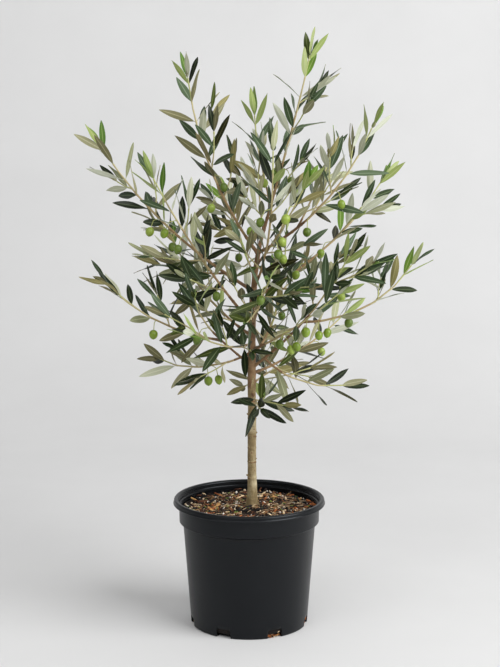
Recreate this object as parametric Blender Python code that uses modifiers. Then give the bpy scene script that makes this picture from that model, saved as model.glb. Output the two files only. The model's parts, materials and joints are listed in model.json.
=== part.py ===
"""Potted olive tree: a young standard in a black nursery pot.

Run it with: blender --background --python part.py

Metres, +Z up.  The origin is the centre of the pot's flat underside.  The tree is seen from -Y,
with +X to the right, and headings are compass angles about +Z: 0 is +X, 90 is +Y (the back).
"""
import math
import random
from collections import namedtuple

import bmesh
import bpy
from mathutils import Matrix, Vector
from mathutils.bvhtree import BVHTree

# ---------------------------------------------------------------- driving sizes

CLEARANCE = 0.0003          # between solids that touch on the real plant

POT_HEIGHT = 0.203
POT_RIM_RADIUS = 0.120
POT_FOOT_RADIUS = 0.0925
POT_TAPER = 0.0745          # growth of the wall's radius for each metre of height
POT_WALL = 0.0020
LIP_HEIGHT = 0.0085
COLLAR_RADIUS = 0.1105
COLLAR_FOOT = 0.1665        # height of the step where the collar meets the wall
TURN_STEPS = 32

DRAIN_COUNT = 7
DRAIN_WIDTH = 0.024
DRAIN_HEIGHT = 0.014
DRAIN_DEPTH = 0.012
DRAIN_FIRST_HEADING = -90 + 0.5 * 360 / DRAIN_COUNT

SOIL_TOP = 0.188

# trunk centre line and radius: height, sideways place, radius
TRUNK_KNOTS = (
    (SOIL_TOP + CLEARANCE, 0.0050, 0.0102),
    (0.1950, 0.0050, 0.0088),
    (0.2080, 0.0048, 0.0076),
    (0.2400, 0.0044, 0.0068),
    (0.3200, 0.0044, 0.0064),
    (0.4000, 0.0040, 0.0062),
    (0.4600, 0.0042, 0.0057),
    (0.5150, 0.0056, 0.0050),
    (0.5600, 0.0092, 0.0041),
    (0.5980, 0.0150, 0.0033),
)
TRUNK_SIDES = 12

BOUGH_SIDES = 7
BOUGH_STEP = 0.025
TIP_RADIUS = 0.0010
RADIUS_GAIN = 0.0052        # growth of a limb's base radius for each metre of its length
NEAR = 0.020                # limbs whose centre lines come this near are cut clear of each other
TWIG_SIDES = 3
TWIG_RADIUS = 0.0012
TWIG_STEP = 0.045
STEM_COLLAR = 0.004         # straight foot of a leafy stem, in line with its bough
TWIG_FIRST = 0.012          # from the start of the stem to its first side twig
TWIG_LAST = 0.050           # no side twigs this near to the stem's tip
TWIG_SPACING = 0.052
TWIG_LONGEST = 0.075
TWIG_SHARE = 0.50           # a side twig's length as a share of the stem left beyond it
TWIG_SPREAD = 48            # degrees between a stem and the foot of its side twig
TWIG_LIFT = 0.12            # how strongly a side twig bends up

LEAF_LENGTH = 0.060
LEAF_WIDTH = 0.0120
LEAF_THICKNESS = 0.0014     # how far a blade's edges stand above its keel
LEAF_WIDEST = 0.46          # share of the length where the blade is widest
LEAF_SUNK = 0.0002          # how far a leaf's root runs past its twig's centre line
LEAF_FIRST = 0.010          # from the start of a twig to its first pair of leaves
NODE_SPACING = 0.0300       # from one pair of leaves to the next
TIP_SPACING = 0.62          # share of that spacing at a twig's tip
SPACING_GAIN = 8.0          # growth of that share for each metre from the tip
TIP_SIZE = 0.76             # size of the leaves at a twig's tip
SIZE_GAIN = 7.0             # growth of the size for each metre from the tip
TIP_SPREAD = 13             # degrees between a twig and the leaves at its tip
FULL_SPREAD = 48            # and farther down
SPREAD_GAIN = 650           # degrees gained for each metre from the tip
LEAF_TWIST = 85             # largest turn of a blade about its midrib, in degrees
# sizes and turns about its twig, in degrees, that a leaf tries until it has room
LEAF_FITS = (
    (1.0, 0), (1.0, 24), (1.0, -24),
    (0.82, 0), (0.82, 40), (0.82, -40),
    (0.66, 0), (0.66, 60), (0.66, -60),
)
GUARD = 0.0018              # air kept round a leaf, a twig and a limb
LAP = 0.018                 # how far a spray may reach in among its neighbour's stem
SEED = 1931

OLIVE_LENGTH = 0.0150
OLIVE_WIDTH = 0.0128
STALK_LENGTH = 0.024
STALK_RADIUS = 0.0009
OLIVE_WINDOW = 0.10         # air kept open on the front of each fruit

Limb = namedtuple("Limb", "name parent at heading rise length bare olives")

# parent and place on it (height on the trunk, else share of the parent's length),
# heading and rise in degrees at base and tip, length, bare length, olives as (share of the length, heading)
LIMBS = (
    Limb("leader_right", "trunk", 0.598, (45, -5), (69, 78), 0.308, 0.082, ((0.42, 326), (0.46, 214))),
    Limb("leader_left", "trunk", 0.590, (178, 152), (53, 82), 0.294, 0.035, ((0.36, 206), (0.48, 334))),
    Limb("right_upper", "trunk", 0.592, (-33, -7), (25, 68), 0.271, 0.094, ((0.38, 262), (0.60, 300))),
    Limb("leader_middle", "leader_right", 0.09, (252, 175), (69, 93), 0.091, 0.015, ((0.24, 206),)),
    Limb("middle_top", "leader_right", 0.20, (87, 167), (44, 91), 0.161, 0.015, ((0.46, 278),)),
    Limb("right_inner", "right_upper", 0.30, (43, 56), (55, 48), 0.141, 0.015, ()),
    Limb("left_upper", "trunk", 0.532, (186, 156), (31, 54), 0.330, 0.074, ((0.56, 222), (0.46, 262))),
    Limb("left_side", "left_upper", 0.16, (124, 152), (-9, 11), 0.150, 0.015, ()),
    Limb("left_middle", "trunk", 0.480, (206, 189), (48, 63), 0.278, 0.060,
         ((0.32, 262), (0.64, 190), (0.74, 190))),
    Limb("right_middle", "trunk", 0.520, (-8, 40), (30, 50), 0.284, 0.055, ((0.36, 190), (0.54, 190))),
    Limb("left_low", "trunk", 0.414, (189, 269), (40, 41), 0.185, 0.092, ((0.56, 198),)),
    Limb("left_low_outer", "left_low", 0.37, (165, 210), (5, 49), 0.206, 0.015, ((0.52, 262),)),
    Limb("left_lowest", "trunk", 0.436, (191, 125), (-27, 13), 0.174, 0.030, ((0.38, 302), (0.44, 302))),
    Limb("right_low", "trunk", 0.411, (-22, -39), (37, 58), 0.251, 0.134, ()),
    Limb("right_low_outer", "right_low", 0.47, (-12, 22), (0, 54), 0.196, 0.015,
         ((0.12, 270), (0.24, 238), (0.46, 198))),
    Limb("right_lowest", "right_low", 0.11, (-12, 15), (-45, 7), 0.140, 0.035, ()),
    Limb("front_low", "trunk", 0.372, (281, 269), (-13, 15), 0.140, 0.020, ()),
    Limb("right_back", "trunk", 0.402, (44, 40), (7, 34), 0.234, 0.030, ((0.60, 40),)),
    Limb("right_front", "trunk", 0.440, (318, 330), (22, 42), 0.190, 0.030,
         ((0.66, 254), (0.38, 350), (0.44, 214), (0.32, 342))),
    Limb("right_side", "right_middle", 0.12, (338, 312), (-4, 34), 0.190, 0.015, ((0.60, 250),)),
    Limb("front_right", "trunk", 0.474, (276, 277), (28, 22), 0.250, 0.030, ((0.84, 240),)),
    Limb("front_left", "trunk", 0.452, (253, 220), (-6, 30), 0.164, 0.030, ()),
    Limb("front_middle", "trunk", 0.538, (293, 276), (40, 93), 0.241, 0.030, ((0.50, 326), (0.64, 206))),
    Limb("back_lowest", "trunk", 0.384, (79, 65), (0, 2), 0.201, 0.030, ()),
    Limb("back_left", "trunk", 0.462, (138, 128), (20, 54), 0.245, 0.035, ((0.60, 120),)),
    Limb("back_middle", "trunk", 0.430, (60, 84), (20, 71), 0.248, 0.035, ((0.50, 70),)),
    Limb("back_upper", "trunk", 0.552, (99, 114), (17, 49), 0.217, 0.040, ((0.45, 110),)),
    Limb("front_upper", "trunk", 0.572, (288, 308), (26, 55), 0.203, 0.035,
         ((0.34, 350), (0.42, 286), (0.82, 222))),
)

MATERIALS = {
    # name: colour, roughness
    "black_plastic": ((0.018, 0.019, 0.020), 0.55),
    "potting_mix": ((0.150, 0.085, 0.050), 0.95),
    "bark": ((0.230, 0.175, 0.115), 0.85),
    "olive_foliage": ((0.085, 0.125, 0.070), 0.60),
}

# ---------------------------------------------------------------- scene and materials


def clear_scene():
    for thing in list(bpy.data.objects):
        bpy.data.objects.remove(thing, do_unlink=True)
    for holder in list(bpy.data.collections):
        bpy.data.collections.remove(holder)


def new_collection(name, parent):
    holder = bpy.data.collections.new(name)
    parent.children.link(holder)
    return holder


def make_material(name, colour, roughness):
    material = bpy.data.materials.new(name)
    material.use_nodes = True
    shader = material.node_tree.nodes["Principled BSDF"]
    shader.inputs["Base Color"].default_value = (*colour, 1.0)
    shader.inputs["Roughness"].default_value = roughness
    shader.inputs["Metallic"].default_value = 0.0
    material.diffuse_color = (*colour, 1.0)
    return material


def place(name, mesh, holder, material=None):
    thing = bpy.data.objects.new(name, mesh)
    holder.objects.link(thing)
    if material:
        mesh.materials.clear()
        mesh.materials.append(material)
    return thing


def mesh_from(form, name="form"):
    """Turn a bmesh into a mesh and free it."""
    mesh = bpy.data.meshes.new(name)
    form.to_mesh(mesh)
    form.free()
    return mesh


def baked(thing):
    """The object's mesh with its modifiers or curve bevel worked out, doubled points welded."""
    bpy.context.view_layer.update()
    graph = bpy.context.evaluated_depsgraph_get()
    mesh = bpy.data.meshes.new_from_object(thing.evaluated_get(graph))
    form = bmesh.new()
    form.from_mesh(mesh)
    bmesh.ops.remove_doubles(form, verts=form.verts, dist=0.000002)
    bmesh.ops.recalc_face_normals(form, faces=form.faces)
    form.to_mesh(mesh)
    form.free()
    return mesh


def drop(thing):
    bpy.data.objects.remove(thing, do_unlink=True)


# ---------------------------------------------------------------- solids


def turned(name, profile, holder, material):
    """A solid of revolution about +Z from a closed outline of (radius, height) points."""
    mesh = bpy.data.meshes.new(name)
    points = [(radius, 0.0, height) for radius, height in profile]
    pairs = [(i, (i + 1) % len(points)) for i in range(len(points))]
    edges = [(i, j) for i, j in pairs if points[i][0] > 0.0 or points[j][0] > 0.0]
    mesh.from_pydata(points, edges, [])
    thing = place(name, mesh, holder, material)
    screw = thing.modifiers.new("turn", "SCREW")
    screw.axis = "Z"
    screw.steps = TURN_STEPS
    screw.render_steps = TURN_STEPS
    screw.use_merge_vertices = True
    screw.merge_threshold = 0.00005
    screw.use_smooth_shade = False
    solid = baked(thing)
    thing.modifiers.clear()
    thing.data = solid
    return thing


def section_curve(sides, holder):
    """The closed outline that a tube of this many sides is swept from, of radius 1."""
    curve = bpy.data.curves.new("section", "CURVE")
    curve.dimensions = "2D"
    outline = curve.splines.new("POLY")
    outline.points.add(sides - 1)
    for i, point in enumerate(outline.points):
        turn = math.tau * i / sides
        point.co = (math.cos(turn), math.sin(turn), 0.0, 1.0)
    outline.use_cyclic_u = True
    return place("section_%d" % sides, curve, holder)


def tube(name, path, radii, section, holder):
    """A tapering tube with closed ends along the path."""
    curve = bpy.data.curves.new(name, "CURVE")
    curve.dimensions = "3D"
    curve.bevel_mode = "OBJECT"
    curve.bevel_object = section
    curve.use_fill_caps = True
    line = curve.splines.new("POLY")
    line.points.add(len(path) - 1)
    for point, spot, radius in zip(line.points, path, radii):
        point.co = (*spot, 1.0)
        point.radius = radius
    swept = bpy.data.objects.new(name, curve)
    holder.objects.link(swept)
    mesh = baked(swept)
    drop(swept)
    return place(name, mesh, holder)


def combine(thing, operation, others, solver):
    """The mesh of a Boolean between the object and a collection."""
    step = thing.modifiers.new("combine", "BOOLEAN")
    step.operation = operation
    step.operand_type = "COLLECTION"
    step.collection = others
    step.solver = solver
    mesh = baked(thing)
    thing.modifiers.clear()
    return mesh


def is_closed(mesh):
    form = bmesh.new()
    form.from_mesh(mesh)
    closed = len(form.faces) > 0 and all(edge.is_manifold for edge in form.edges)
    form.free()
    return closed


def islands(form):
    """The groups of faces of a bmesh that hang together."""
    left = set(form.faces)
    groups = []
    while left:
        queue = [left.pop()]
        group = []
        while queue:
            face = queue.pop()
            group.append(face)
            for edge in face.edges:
                for other in edge.link_faces:
                    if other in left:
                        left.remove(other)
                        queue.append(other)
        groups.append(group)
    return groups


def keep_main_body(mesh):
    """Drop loose scraps and fill sealed hollows: only the largest shell stays."""
    form = bmesh.new()
    form.from_mesh(mesh)
    groups = sorted(islands(form), key=len, reverse=True)
    spare = [face for group in groups[1:] for face in group]
    if spare:
        bmesh.ops.delete(form, geom=spare, context="FACES")
    form.to_mesh(mesh)
    form.free()


def cut_away(thing, cutters, holder):
    """Take the cutters, a list of objects, away from the object and remove them."""
    group = new_collection("cutting", holder)
    for cutter in cutters:
        for owner in list(cutter.users_collection):
            owner.objects.unlink(cutter)
        group.objects.link(cutter)
        cutter.hide_render = True
        cutter.display_type = "WIRE"
    mesh = combine(thing, "DIFFERENCE", group, "EXACT")
    keep_main_body(mesh)
    thing.data = mesh
    for cutter in cutters:
        drop(cutter)
    bpy.data.collections.remove(group)


# ---------------------------------------------------------------- pot and soil


def wall_radius(height):
    """Outer radius of the tapering wall below the collar."""
    return POT_FOOT_RADIUS + POT_TAPER * height


def pot_profile():
    """Closed (radius, height) outline: down the outside, along the foot, up the inside."""
    lip_foot = POT_HEIGHT - LIP_HEIGHT
    shoulder = COLLAR_FOOT - 0.0030
    inner_collar = COLLAR_RADIUS - POT_WALL
    inner_top = POT_RIM_RADIUS - 0.0075
    outside = [
        (inner_top + 0.0010, POT_HEIGHT - 0.0004),
        (inner_top + 0.0030, POT_HEIGHT),
        (POT_RIM_RADIUS - 0.0018, POT_HEIGHT - 0.0006),
        (POT_RIM_RADIUS, POT_HEIGHT - 0.0035),
        (POT_RIM_RADIUS - 0.0006, lip_foot + 0.0010),
        (POT_RIM_RADIUS - 0.0022, lip_foot),
        (COLLAR_RADIUS + 0.0006, lip_foot),
        (COLLAR_RADIUS, COLLAR_FOOT),
        (wall_radius(shoulder), shoulder),
        (wall_radius(0.0030), 0.0030),
        (POT_FOOT_RADIUS - 0.0022, 0.0),
        (0.0, 0.0),
    ]
    inside = [
        (0.0, POT_WALL),
        (wall_radius(0.0030) - POT_WALL - 0.0020, POT_WALL),
        (wall_radius(0.0060) - POT_WALL, 0.0060),
        (wall_radius(shoulder) - POT_WALL, shoulder),
        (inner_collar, COLLAR_FOOT),
        (inner_collar + 0.0006, lip_foot - 0.0010),
        (inner_top, lip_foot + 0.0020),
    ]
    return outside, inside


def make_pot(holder, scratch, material):
    outside, inside = pot_profile()
    pot = turned("pot", outside + inside, holder, material)
    notches = []
    for i in range(DRAIN_COUNT):
        heading = math.radians(DRAIN_FIRST_HEADING + 360 * i / DRAIN_COUNT)
        form = bmesh.new()
        bmesh.ops.create_cube(form, size=1.0)
        bmesh.ops.scale(form, vec=(2 * DRAIN_DEPTH, DRAIN_WIDTH, 2 * DRAIN_HEIGHT), verts=form.verts)
        notch = place("drain_%d" % i, mesh_from(form), scratch)
        notch.rotation_euler.z = heading
        notch.location = (POT_FOOT_RADIUS * math.cos(heading), POT_FOOT_RADIUS * math.sin(heading), 0.0)
        notches.append(notch)
    cut_away(pot, notches, scratch)
    return pot


def make_soil(holder, material):
    """The filling, which keeps clear of the pot's inside all round."""
    _, inside = pot_profile()
    rows = [(radius, height) for radius, height in inside if height < SOIL_TOP and radius > 0.0]
    wall = [(radius - CLEARANCE, height) for radius, height in rows]
    floor = POT_WALL + CLEARANCE
    top = (COLLAR_RADIUS - POT_WALL - CLEARANCE, SOIL_TOP)
    profile = [(0.0, SOIL_TOP), top] + wall[:0:-1] + [(wall[0][0], floor), (0.0, floor)]
    return turned("soil", profile, holder, material)


# ---------------------------------------------------------------- limbs


def direction(heading, rise):
    flat = math.cos(math.radians(rise))
    heading = math.radians(heading)
    return Vector((flat * math.cos(heading), flat * math.sin(heading), math.sin(math.radians(rise))))


def limb_line(limb, start):
    """Knots of a limb's centre line: its heading and rise change evenly from base to tip."""
    count = math.ceil(limb.length / 0.01)
    knots = [start]
    for i in range(count):
        share = (i + 0.5) / count
        heading = limb.heading[0] + share * (limb.heading[1] - limb.heading[0])
        rise = limb.rise[0] + share * (limb.rise[1] - limb.rise[0])
        knots.append(knots[-1] + direction(heading, rise) * (limb.length / count))
    return knots


def along(knots, distance):
    """Point and direction at a distance along a line of knots."""
    for a, b in zip(knots, knots[1:]):
        step = (b - a).length
        if distance <= step:
            return a + (b - a) * (distance / step), (b - a).normalized()
        distance -= step
    return knots[-1].copy(), (knots[-1] - knots[-2]).normalized()


def stretch(knots, start, end, step):
    """Evenly spaced points of a line from one distance to another."""
    count = max(1, round((end - start) / step))
    return [along(knots, start + (end - start) * i / count)[0] for i in range(count + 1)]


def line_length(knots):
    return sum((b - a).length for a, b in zip(knots, knots[1:]))


def limb_radius(length, distance):
    """A limb's radius at a distance from its base."""
    left = max(0.0, 1.0 - distance / length)
    return TIP_RADIUS + RADIUS_GAIN * length * left ** 0.8


def trunk_knots():
    return [Vector((sideways, 0.0, height)) for height, sideways, _ in TRUNK_KNOTS]


def trunk_point(height):
    for (low, x0, _), (high, x1, _) in zip(TRUNK_KNOTS, TRUNK_KNOTS[1:]):
        if height <= high:
            share = (height - low) / (high - low)
            return Vector((x0 + share * (x1 - x0), 0.0, height))
    return Vector((TRUNK_KNOTS[-1][1], 0.0, TRUNK_KNOTS[-1][0]))


def limb_lines():
    """The centre line of every limb, by name."""
    lines = {"trunk": trunk_knots()}
    for limb in LIMBS:
        if limb.parent == "trunk":
            start = trunk_point(limb.at)
        else:
            parent = lines[limb.parent]
            start = along(parent, limb.at * line_length(parent))[0]
        lines[limb.name] = limb_line(limb, start)
    return lines


def make_trunk(section, holder, material):
    radii = [radius for _, _, radius in TRUNK_KNOTS]
    trunk = tube("trunk", trunk_knots(), radii, section, holder)
    trunk.data.materials.append(material)
    return trunk


def swollen(path, radii, section, scratch):
    """A copy of a limb that is one clearance fatter and longer."""
    first = path[0] + (path[0] - path[1]).normalized() * CLEARANCE
    last = path[-1] + (path[-1] - path[-2]).normalized() * CLEARANCE
    fat = [radius + CLEARANCE for radius in radii]
    return tube("swollen", [first] + path[1:-1] + [last], fat, section, scratch)


def bough_path(limb, line):
    return stretch(line, 0.0, limb.bare, BOUGH_STEP)


def make_boughs(lines, sections, holder, scratch, material):
    """Each bough from its parent's surface to the end of its bare length."""
    standing = [(trunk_knots(), [radius for _, _, radius in TRUNK_KNOTS], sections[TRUNK_SIDES])]
    for limb in LIMBS:
        path = bough_path(limb, lines[limb.name])
        count = len(path) - 1
        radii = [limb_radius(limb.length, limb.bare * i / count) for i in range(count + 1)]
        bough = tube("bough_" + limb.name, path, radii, sections[BOUGH_SIDES], holder)
        cutters = [swollen(*other, scratch) for other in standing if close_by(path, other[0])]
        cut_away(bough, cutters, scratch)
        bough.data.materials.clear()
        bough.data.materials.append(material)
        standing.append((path, radii, sections[BOUGH_SIDES]))


def close_by(path, other):
    """Whether two lines come near enough for their limbs to touch."""
    spots = stretch(path, 0.0, line_length(path), NEAR / 5)
    others = stretch(other, 0.0, line_length(other), NEAR / 5)
    return any((a - b).length < NEAR for a in spots for b in others)


# ---------------------------------------------------------------- the growing rule

Leaf = namedtuple("Leaf", "root along face length width droop")
Twig = namedtuple("Twig", "name knots radii")
Olive = namedtuple("Olive", "stalk centre axis")
Spray = namedtuple("Spray", "limb twigs leaves olives")
Guard = namedtuple("Guard", "owner centre reach tree")


def square_to(axis, hint):
    """The part of a hint that is square to an axis, as a unit vector."""
    side = hint - axis * hint.dot(axis)
    return side.normalized() if side.length > 0.000001 else axis.orthogonal().normalized()


def outward(axis, roll):
    """The unit vector square to an axis at a roll, counted from straight up."""
    return Matrix.Rotation(math.radians(roll), 3, axis) @ square_to(axis, Vector((0, 0, 1)))


def leaf_point(leaf, share):
    """A point on the midrib, which droops away from the leaf's face."""
    return leaf.root + (leaf.along * share - leaf.face * (leaf.droop * share * share)) * leaf.length


def leaf_corners(leaf, margin=0.0):
    """The four corners of a keeled blade: root, tip and the two edges, which stand above the keel."""
    middle = leaf_point(leaf, LEAF_WIDEST) + leaf.face * (LEAF_THICKNESS + margin)
    side = leaf.along.cross(leaf.face) * (leaf.width / 2 + margin)
    return [leaf.root, leaf_point(leaf, 1.0) + leaf.along * margin, middle + side, middle - side]


def hull_guard(owner, points):
    """The convex hull of some points, to be tested against other guards."""
    form = bmesh.new()
    for point in points:
        form.verts.new(point)
    bmesh.ops.convex_hull(form, input=form.verts)
    tree = BVHTree.FromBMesh(form)
    form.free()
    centre = sum(points, Vector()) / len(points)
    return Guard(owner, centre, max((point - centre).length for point in points), tree)


def wood_guards(owner, knots, radii):
    """Guards along a limb or twig, one for each stretch."""
    guards = []
    for a, b, near, far in zip(knots, knots[1:], radii, radii[1:]):
        axis = (b - a).normalized()
        side = axis.orthogonal().normalized()
        other = axis.cross(side)
        ring = []
        for centre, radius in ((a, near), (b, far)):
            for u, v in ((1, 0), (0.5, 0.87), (-0.5, 0.87), (-1, 0), (-0.5, -0.87), (0.5, -0.87)):
                ring.append(centre + (side * u + other * v) * (radius + GUARD))
        guards.append(hull_guard(owner, ring))
    return guards


def is_free(guard, guards, own):
    """Whether a guard touches none of the others, leaving out those of the named owners."""
    for other in guards:
        if other.owner not in own and (other.centre - guard.centre).length < other.reach + guard.reach:
            if guard.tree.overlap(other.tree):
                return False
    return True


def gap_to(point, knots):
    """Distance from a point to a line of knots."""
    best = math.inf
    for a, b in zip(knots, knots[1:]):
        share = min(1.0, max(0.0, (point - a).dot(b - a) / (b - a).length_squared))
        best = min(best, (a + (b - a) * share - point).length)
    return best


def in_own_space(point, limb, lines):
    """Whether a point is no nearer to another limb's line than the lap allows."""
    own = gap_to(point, lines[limb.name])
    return all(gap_to(point, lines[other.name]) > own - LAP for other in LIMBS if other != limb)


def stem_twig(limb, line):
    """The leafy stretch of a limb, which starts square to the flat end of its bough."""
    bough = bough_path(limb, line)
    ahead = (bough[-1] - bough[-2]).normalized()
    foot = bough[-1] + ahead * CLEARANCE
    knots = [foot, foot + ahead * STEM_COLLAR]
    knots += stretch(line, limb.bare + 4 * STEM_COLLAR, limb.length, TWIG_STEP)
    radii = [limb_radius(limb.length, limb.bare + line_length(knots[:i + 1])) for i in range(len(knots))]
    return Twig("stem of " + limb.name, knots, radii)


def grow_twigs(limb, lines, guards):
    """The stem of a spray and the side twigs that find room."""
    dice = random.Random(SEED + LIMBS.index(limb))
    stem = stem_twig(limb, lines[limb.name])
    reach = line_length(stem.knots)
    twigs = [stem]
    spot = TWIG_FIRST
    roll = dice.uniform(0, 360)
    while spot < reach - TWIG_LAST:
        root, axis = along(stem.knots, spot)
        length = min(TWIG_LONGEST, TWIG_SHARE * (reach - spot)) * dice.uniform(0.8, 1.15)
        for turn in (0, 180):
            twig = side_twig("twig %d of %s" % (len(twigs), limb.name), root, axis, roll + turn, length)
            own = wood_guards(twig.name, twig.knots, twig.radii)
            clear = all(is_free(guard, guards, [stem.name]) for guard in own)
            if clear and in_own_space(twig.knots[-1], limb, lines):
                guards.extend(own)
                twigs.append(twig)
                break
        roll += 90 + dice.uniform(-20, 20)
        spot += TWIG_SPACING * dice.uniform(0.85, 1.15)
    return twigs


def side_twig(name, root, axis, roll, length):
    """A twig that leaves its stem widely and bends forward and up."""
    out = outward(axis, roll)
    count = 2
    knots = [root]
    for i in range(count):
        spread = math.radians(TWIG_SPREAD * (1.0 - 0.45 * i / count))
        heading = axis * math.cos(spread) + out * math.sin(spread) + Vector((0, 0, TWIG_LIFT))
        knots.append(knots[-1] + heading.normalized() * (length / count))
    radii = [TWIG_RADIUS + (TIP_RADIUS - TWIG_RADIUS) * i / count for i in range(count + 1)]
    return Twig(name, knots, radii)


def olive_at(root, heading):
    """An olive that hangs from a point of a stem, to the side of the given heading."""
    elbow = root + direction(heading, -10) * (STALK_LENGTH * 0.5)
    end = elbow + direction(heading, -65) * (STALK_LENGTH * 0.5)
    axis = direction(heading, -72)
    return Olive([root, elbow, end + axis * 0.002], end + axis * (OLIVE_LENGTH * 0.45), axis)


def olive_guards(olive):
    side = square_to(olive.axis, Vector((0, 0, 1))) * (OLIVE_WIDTH * 0.5)
    ring = [olive.centre + Matrix.Rotation(math.tau * i / 6, 3, olive.axis) @ side for i in range(6)]
    half = olive.axis * (OLIVE_LENGTH * 0.5)
    ends = [olive.centre + half, olive.centre - half]
    return wood_guards("olive", olive.stalk, [STALK_RADIUS] * 3) + [hull_guard("olive", ends + ring)]


def open_front(olive):
    """A slim guard on the front of an olive, where nothing may hang over it."""
    ahead = direction(-90, 9)
    side = square_to(ahead, Vector((1, 0, 0))) * (OLIVE_WIDTH * 0.3)
    ring = [Matrix.Rotation(math.tau * i / 4, 3, ahead) @ side for i in range(4)]
    ends = (Vector(), ahead * OLIVE_WINDOW)
    return hull_guard("olive", [olive.centre + spot + end for end in ends for spot in ring])


def grow_olives(limb, lines, guards):
    """Olives that hang at the named shares of the limb, turned aside where there is no room."""
    olives = []
    for share, heading in limb.olives:
        root, _ = along(lines[limb.name], share * limb.length)
        for turn in (0, 20, -20, 40, -40, 60, -60):
            olive = olive_at(root, heading + turn)
            own = olive_guards(olive)
            if all(is_free(guard, guards, ["stem of " + limb.name]) for guard in own):
                guards.extend(own + [open_front(olive)])
                olives.append(olive)
                break
    return olives


def make_leaf(dice, root, axis, roll, spread, size):
    """A leaf that leaves its twig at the given spread, its face towards the twig's tip."""
    spread = math.radians(spread + dice.uniform(-8, 10))
    out = outward(axis, roll)
    heading = axis * math.cos(spread) + out * math.sin(spread) + Vector((0, 0, dice.uniform(-0.1, 0.2)))
    heading.normalize()
    face = square_to(heading, axis * math.sin(spread) - out * math.cos(spread))
    face = Matrix.Rotation(math.radians(dice.uniform(-LEAF_TWIST, LEAF_TWIST)), 3, heading) @ face
    length = LEAF_LENGTH * size * dice.uniform(0.86, 1.12)
    width = LEAF_WIDTH * (0.35 + 0.65 * size) * dice.uniform(0.88, 1.1)
    return Leaf(root - heading * LEAF_SUNK, heading, face, length, width, dice.uniform(-0.04, 0.13))


def fitted_leaf(leaf, axis, node, twig, limb, lines, guards):
    """The leaf if it has room, else one turned aside or a shorter one, else none."""
    for size, turn in LEAF_FITS:
        turned = Matrix.Rotation(math.radians(turn), 3, axis)
        trial = leaf._replace(along=turned @ leaf.along, face=turned @ leaf.face,
                              length=leaf.length * size, width=leaf.width * (0.3 + 0.7 * size))
        guard = hull_guard(node, leaf_corners(trial, GUARD / 2))
        if in_own_space(leaf_point(trial, 1.0), limb, lines) and is_free(guard, guards, [twig.name, node]):
            guards.append(guard)
            return trial
    return None


def grow_leaves(limb, twigs, lines, guards):
    """Crossed pairs of leaves along each twig, closer and smaller towards its tip."""
    dice = random.Random(SEED * 2 + LIMBS.index(limb))
    leaves = []
    for twig in twigs:
        length = line_length(twig.knots)
        roll = dice.uniform(0, 360)
        spots = [LEAF_FIRST]
        while spots[-1] < length:
            share = min(1.0, TIP_SPACING + SPACING_GAIN * (length - spots[-1]))
            spots.append(spots[-1] + NODE_SPACING * share)
        spots[-1] = length - 0.001
        for i, spot in enumerate(spots):
            left = length - spot
            root, axis = along(twig.knots, spot)
            size = min(1.0, TIP_SIZE + SIZE_GAIN * left)
            spread = min(FULL_SPREAD, TIP_SPREAD + SPREAD_GAIN * left)
            for turn in (0, 180):
                leaf = make_leaf(dice, root, axis, roll + turn, spread, size)
                node = "pair %d of %s" % (i, twig.name)
                leaves.append(fitted_leaf(leaf, axis, node, twig, limb, lines, guards))
            roll += 90 + dice.uniform(-14, 14)
    return [leaf for leaf in leaves if leaf]


def grow_all(lines):
    """Every spray of the tree: the limbs claim their room first, then olives, twigs and leaves."""
    guards = wood_guards("trunk", trunk_knots(), [radius for _, _, radius in TRUNK_KNOTS])
    for limb in LIMBS:
        line = lines[limb.name]
        knots = stretch(line, 0.0, limb.length, BOUGH_STEP)
        share = limb.length / (len(knots) - 1)
        radii = [limb_radius(limb.length, share * i) for i in range(len(knots))]
        guards.extend(wood_guards("stem of " + limb.name, knots, radii))
    olives = {limb.name: grow_olives(limb, lines, guards) for limb in LIMBS}
    twigs = {limb.name: grow_twigs(limb, lines, guards) for limb in LIMBS}
    sprays = []
    for limb in LIMBS:
        leaves = grow_leaves(limb, twigs[limb.name], lines, guards)
        sprays.append(Spray(limb, twigs[limb.name], leaves, olives[limb.name]))
    return sprays


# ---------------------------------------------------------------- sprays as solids


def leaf_solid(leaf, holder):
    form = bmesh.new()
    for corner in leaf_corners(leaf):
        form.verts.new(corner)
    bmesh.ops.convex_hull(form, input=form.verts)
    return place("leaf", mesh_from(form), holder)


def olive_solid(olive, holder):
    form = bmesh.new()
    bmesh.ops.create_uvsphere(form, u_segments=6, v_segments=3, radius=0.5)
    bmesh.ops.scale(form, vec=(OLIVE_WIDTH, OLIVE_WIDTH, OLIVE_LENGTH), verts=form.verts)
    fruit = place("olive", mesh_from(form), holder)
    fruit.rotation_mode = "QUATERNION"
    fruit.rotation_quaternion = olive.axis.to_track_quat("Z", "Y")
    fruit.location = olive.centre
    return fruit


def fuse(thing, operands):
    """Join a collection to the object in one Boolean; False where no solver closes the result."""
    for solver in ("EXACT", "MANIFOLD"):
        mesh = combine(thing, "UNION", operands, solver)
        keep_main_body(mesh)
        if is_closed(mesh):
            thing.data = mesh
            return True
        bpy.data.meshes.remove(mesh)
    return False


def make_spray(spray, section, holder, scratch, material):
    """One mass of foliage: twigs, leaves and olives joined to its stem."""
    stem, *side_twigs = spray.twigs
    mass = tube("foliage_" + spray.limb.name, stem.knots, stem.radii, section, holder)
    operands = new_collection("joining", scratch)
    for twig in side_twigs:
        tube("twig", twig.knots, twig.radii, section, operands)
    for olive in spray.olives:
        tube("stalk", olive.stalk, [STALK_RADIUS] * len(olive.stalk), section, operands)
        olive_solid(olive, operands)
    leaves = [leaf_solid(leaf, operands) for leaf in spray.leaves]
    while not fuse(mass, operands) and leaves:
        for leaf in leaves[::4]:
            drop(leaf)
        leaves = [leaf for i, leaf in enumerate(leaves) if i % 4]
    for thing in list(operands.objects):
        drop(thing)
    bpy.data.collections.remove(operands)
    mass.data.materials.clear()
    mass.data.materials.append(material)
    return mass


# ---------------------------------------------------------------- the whole tree


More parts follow.
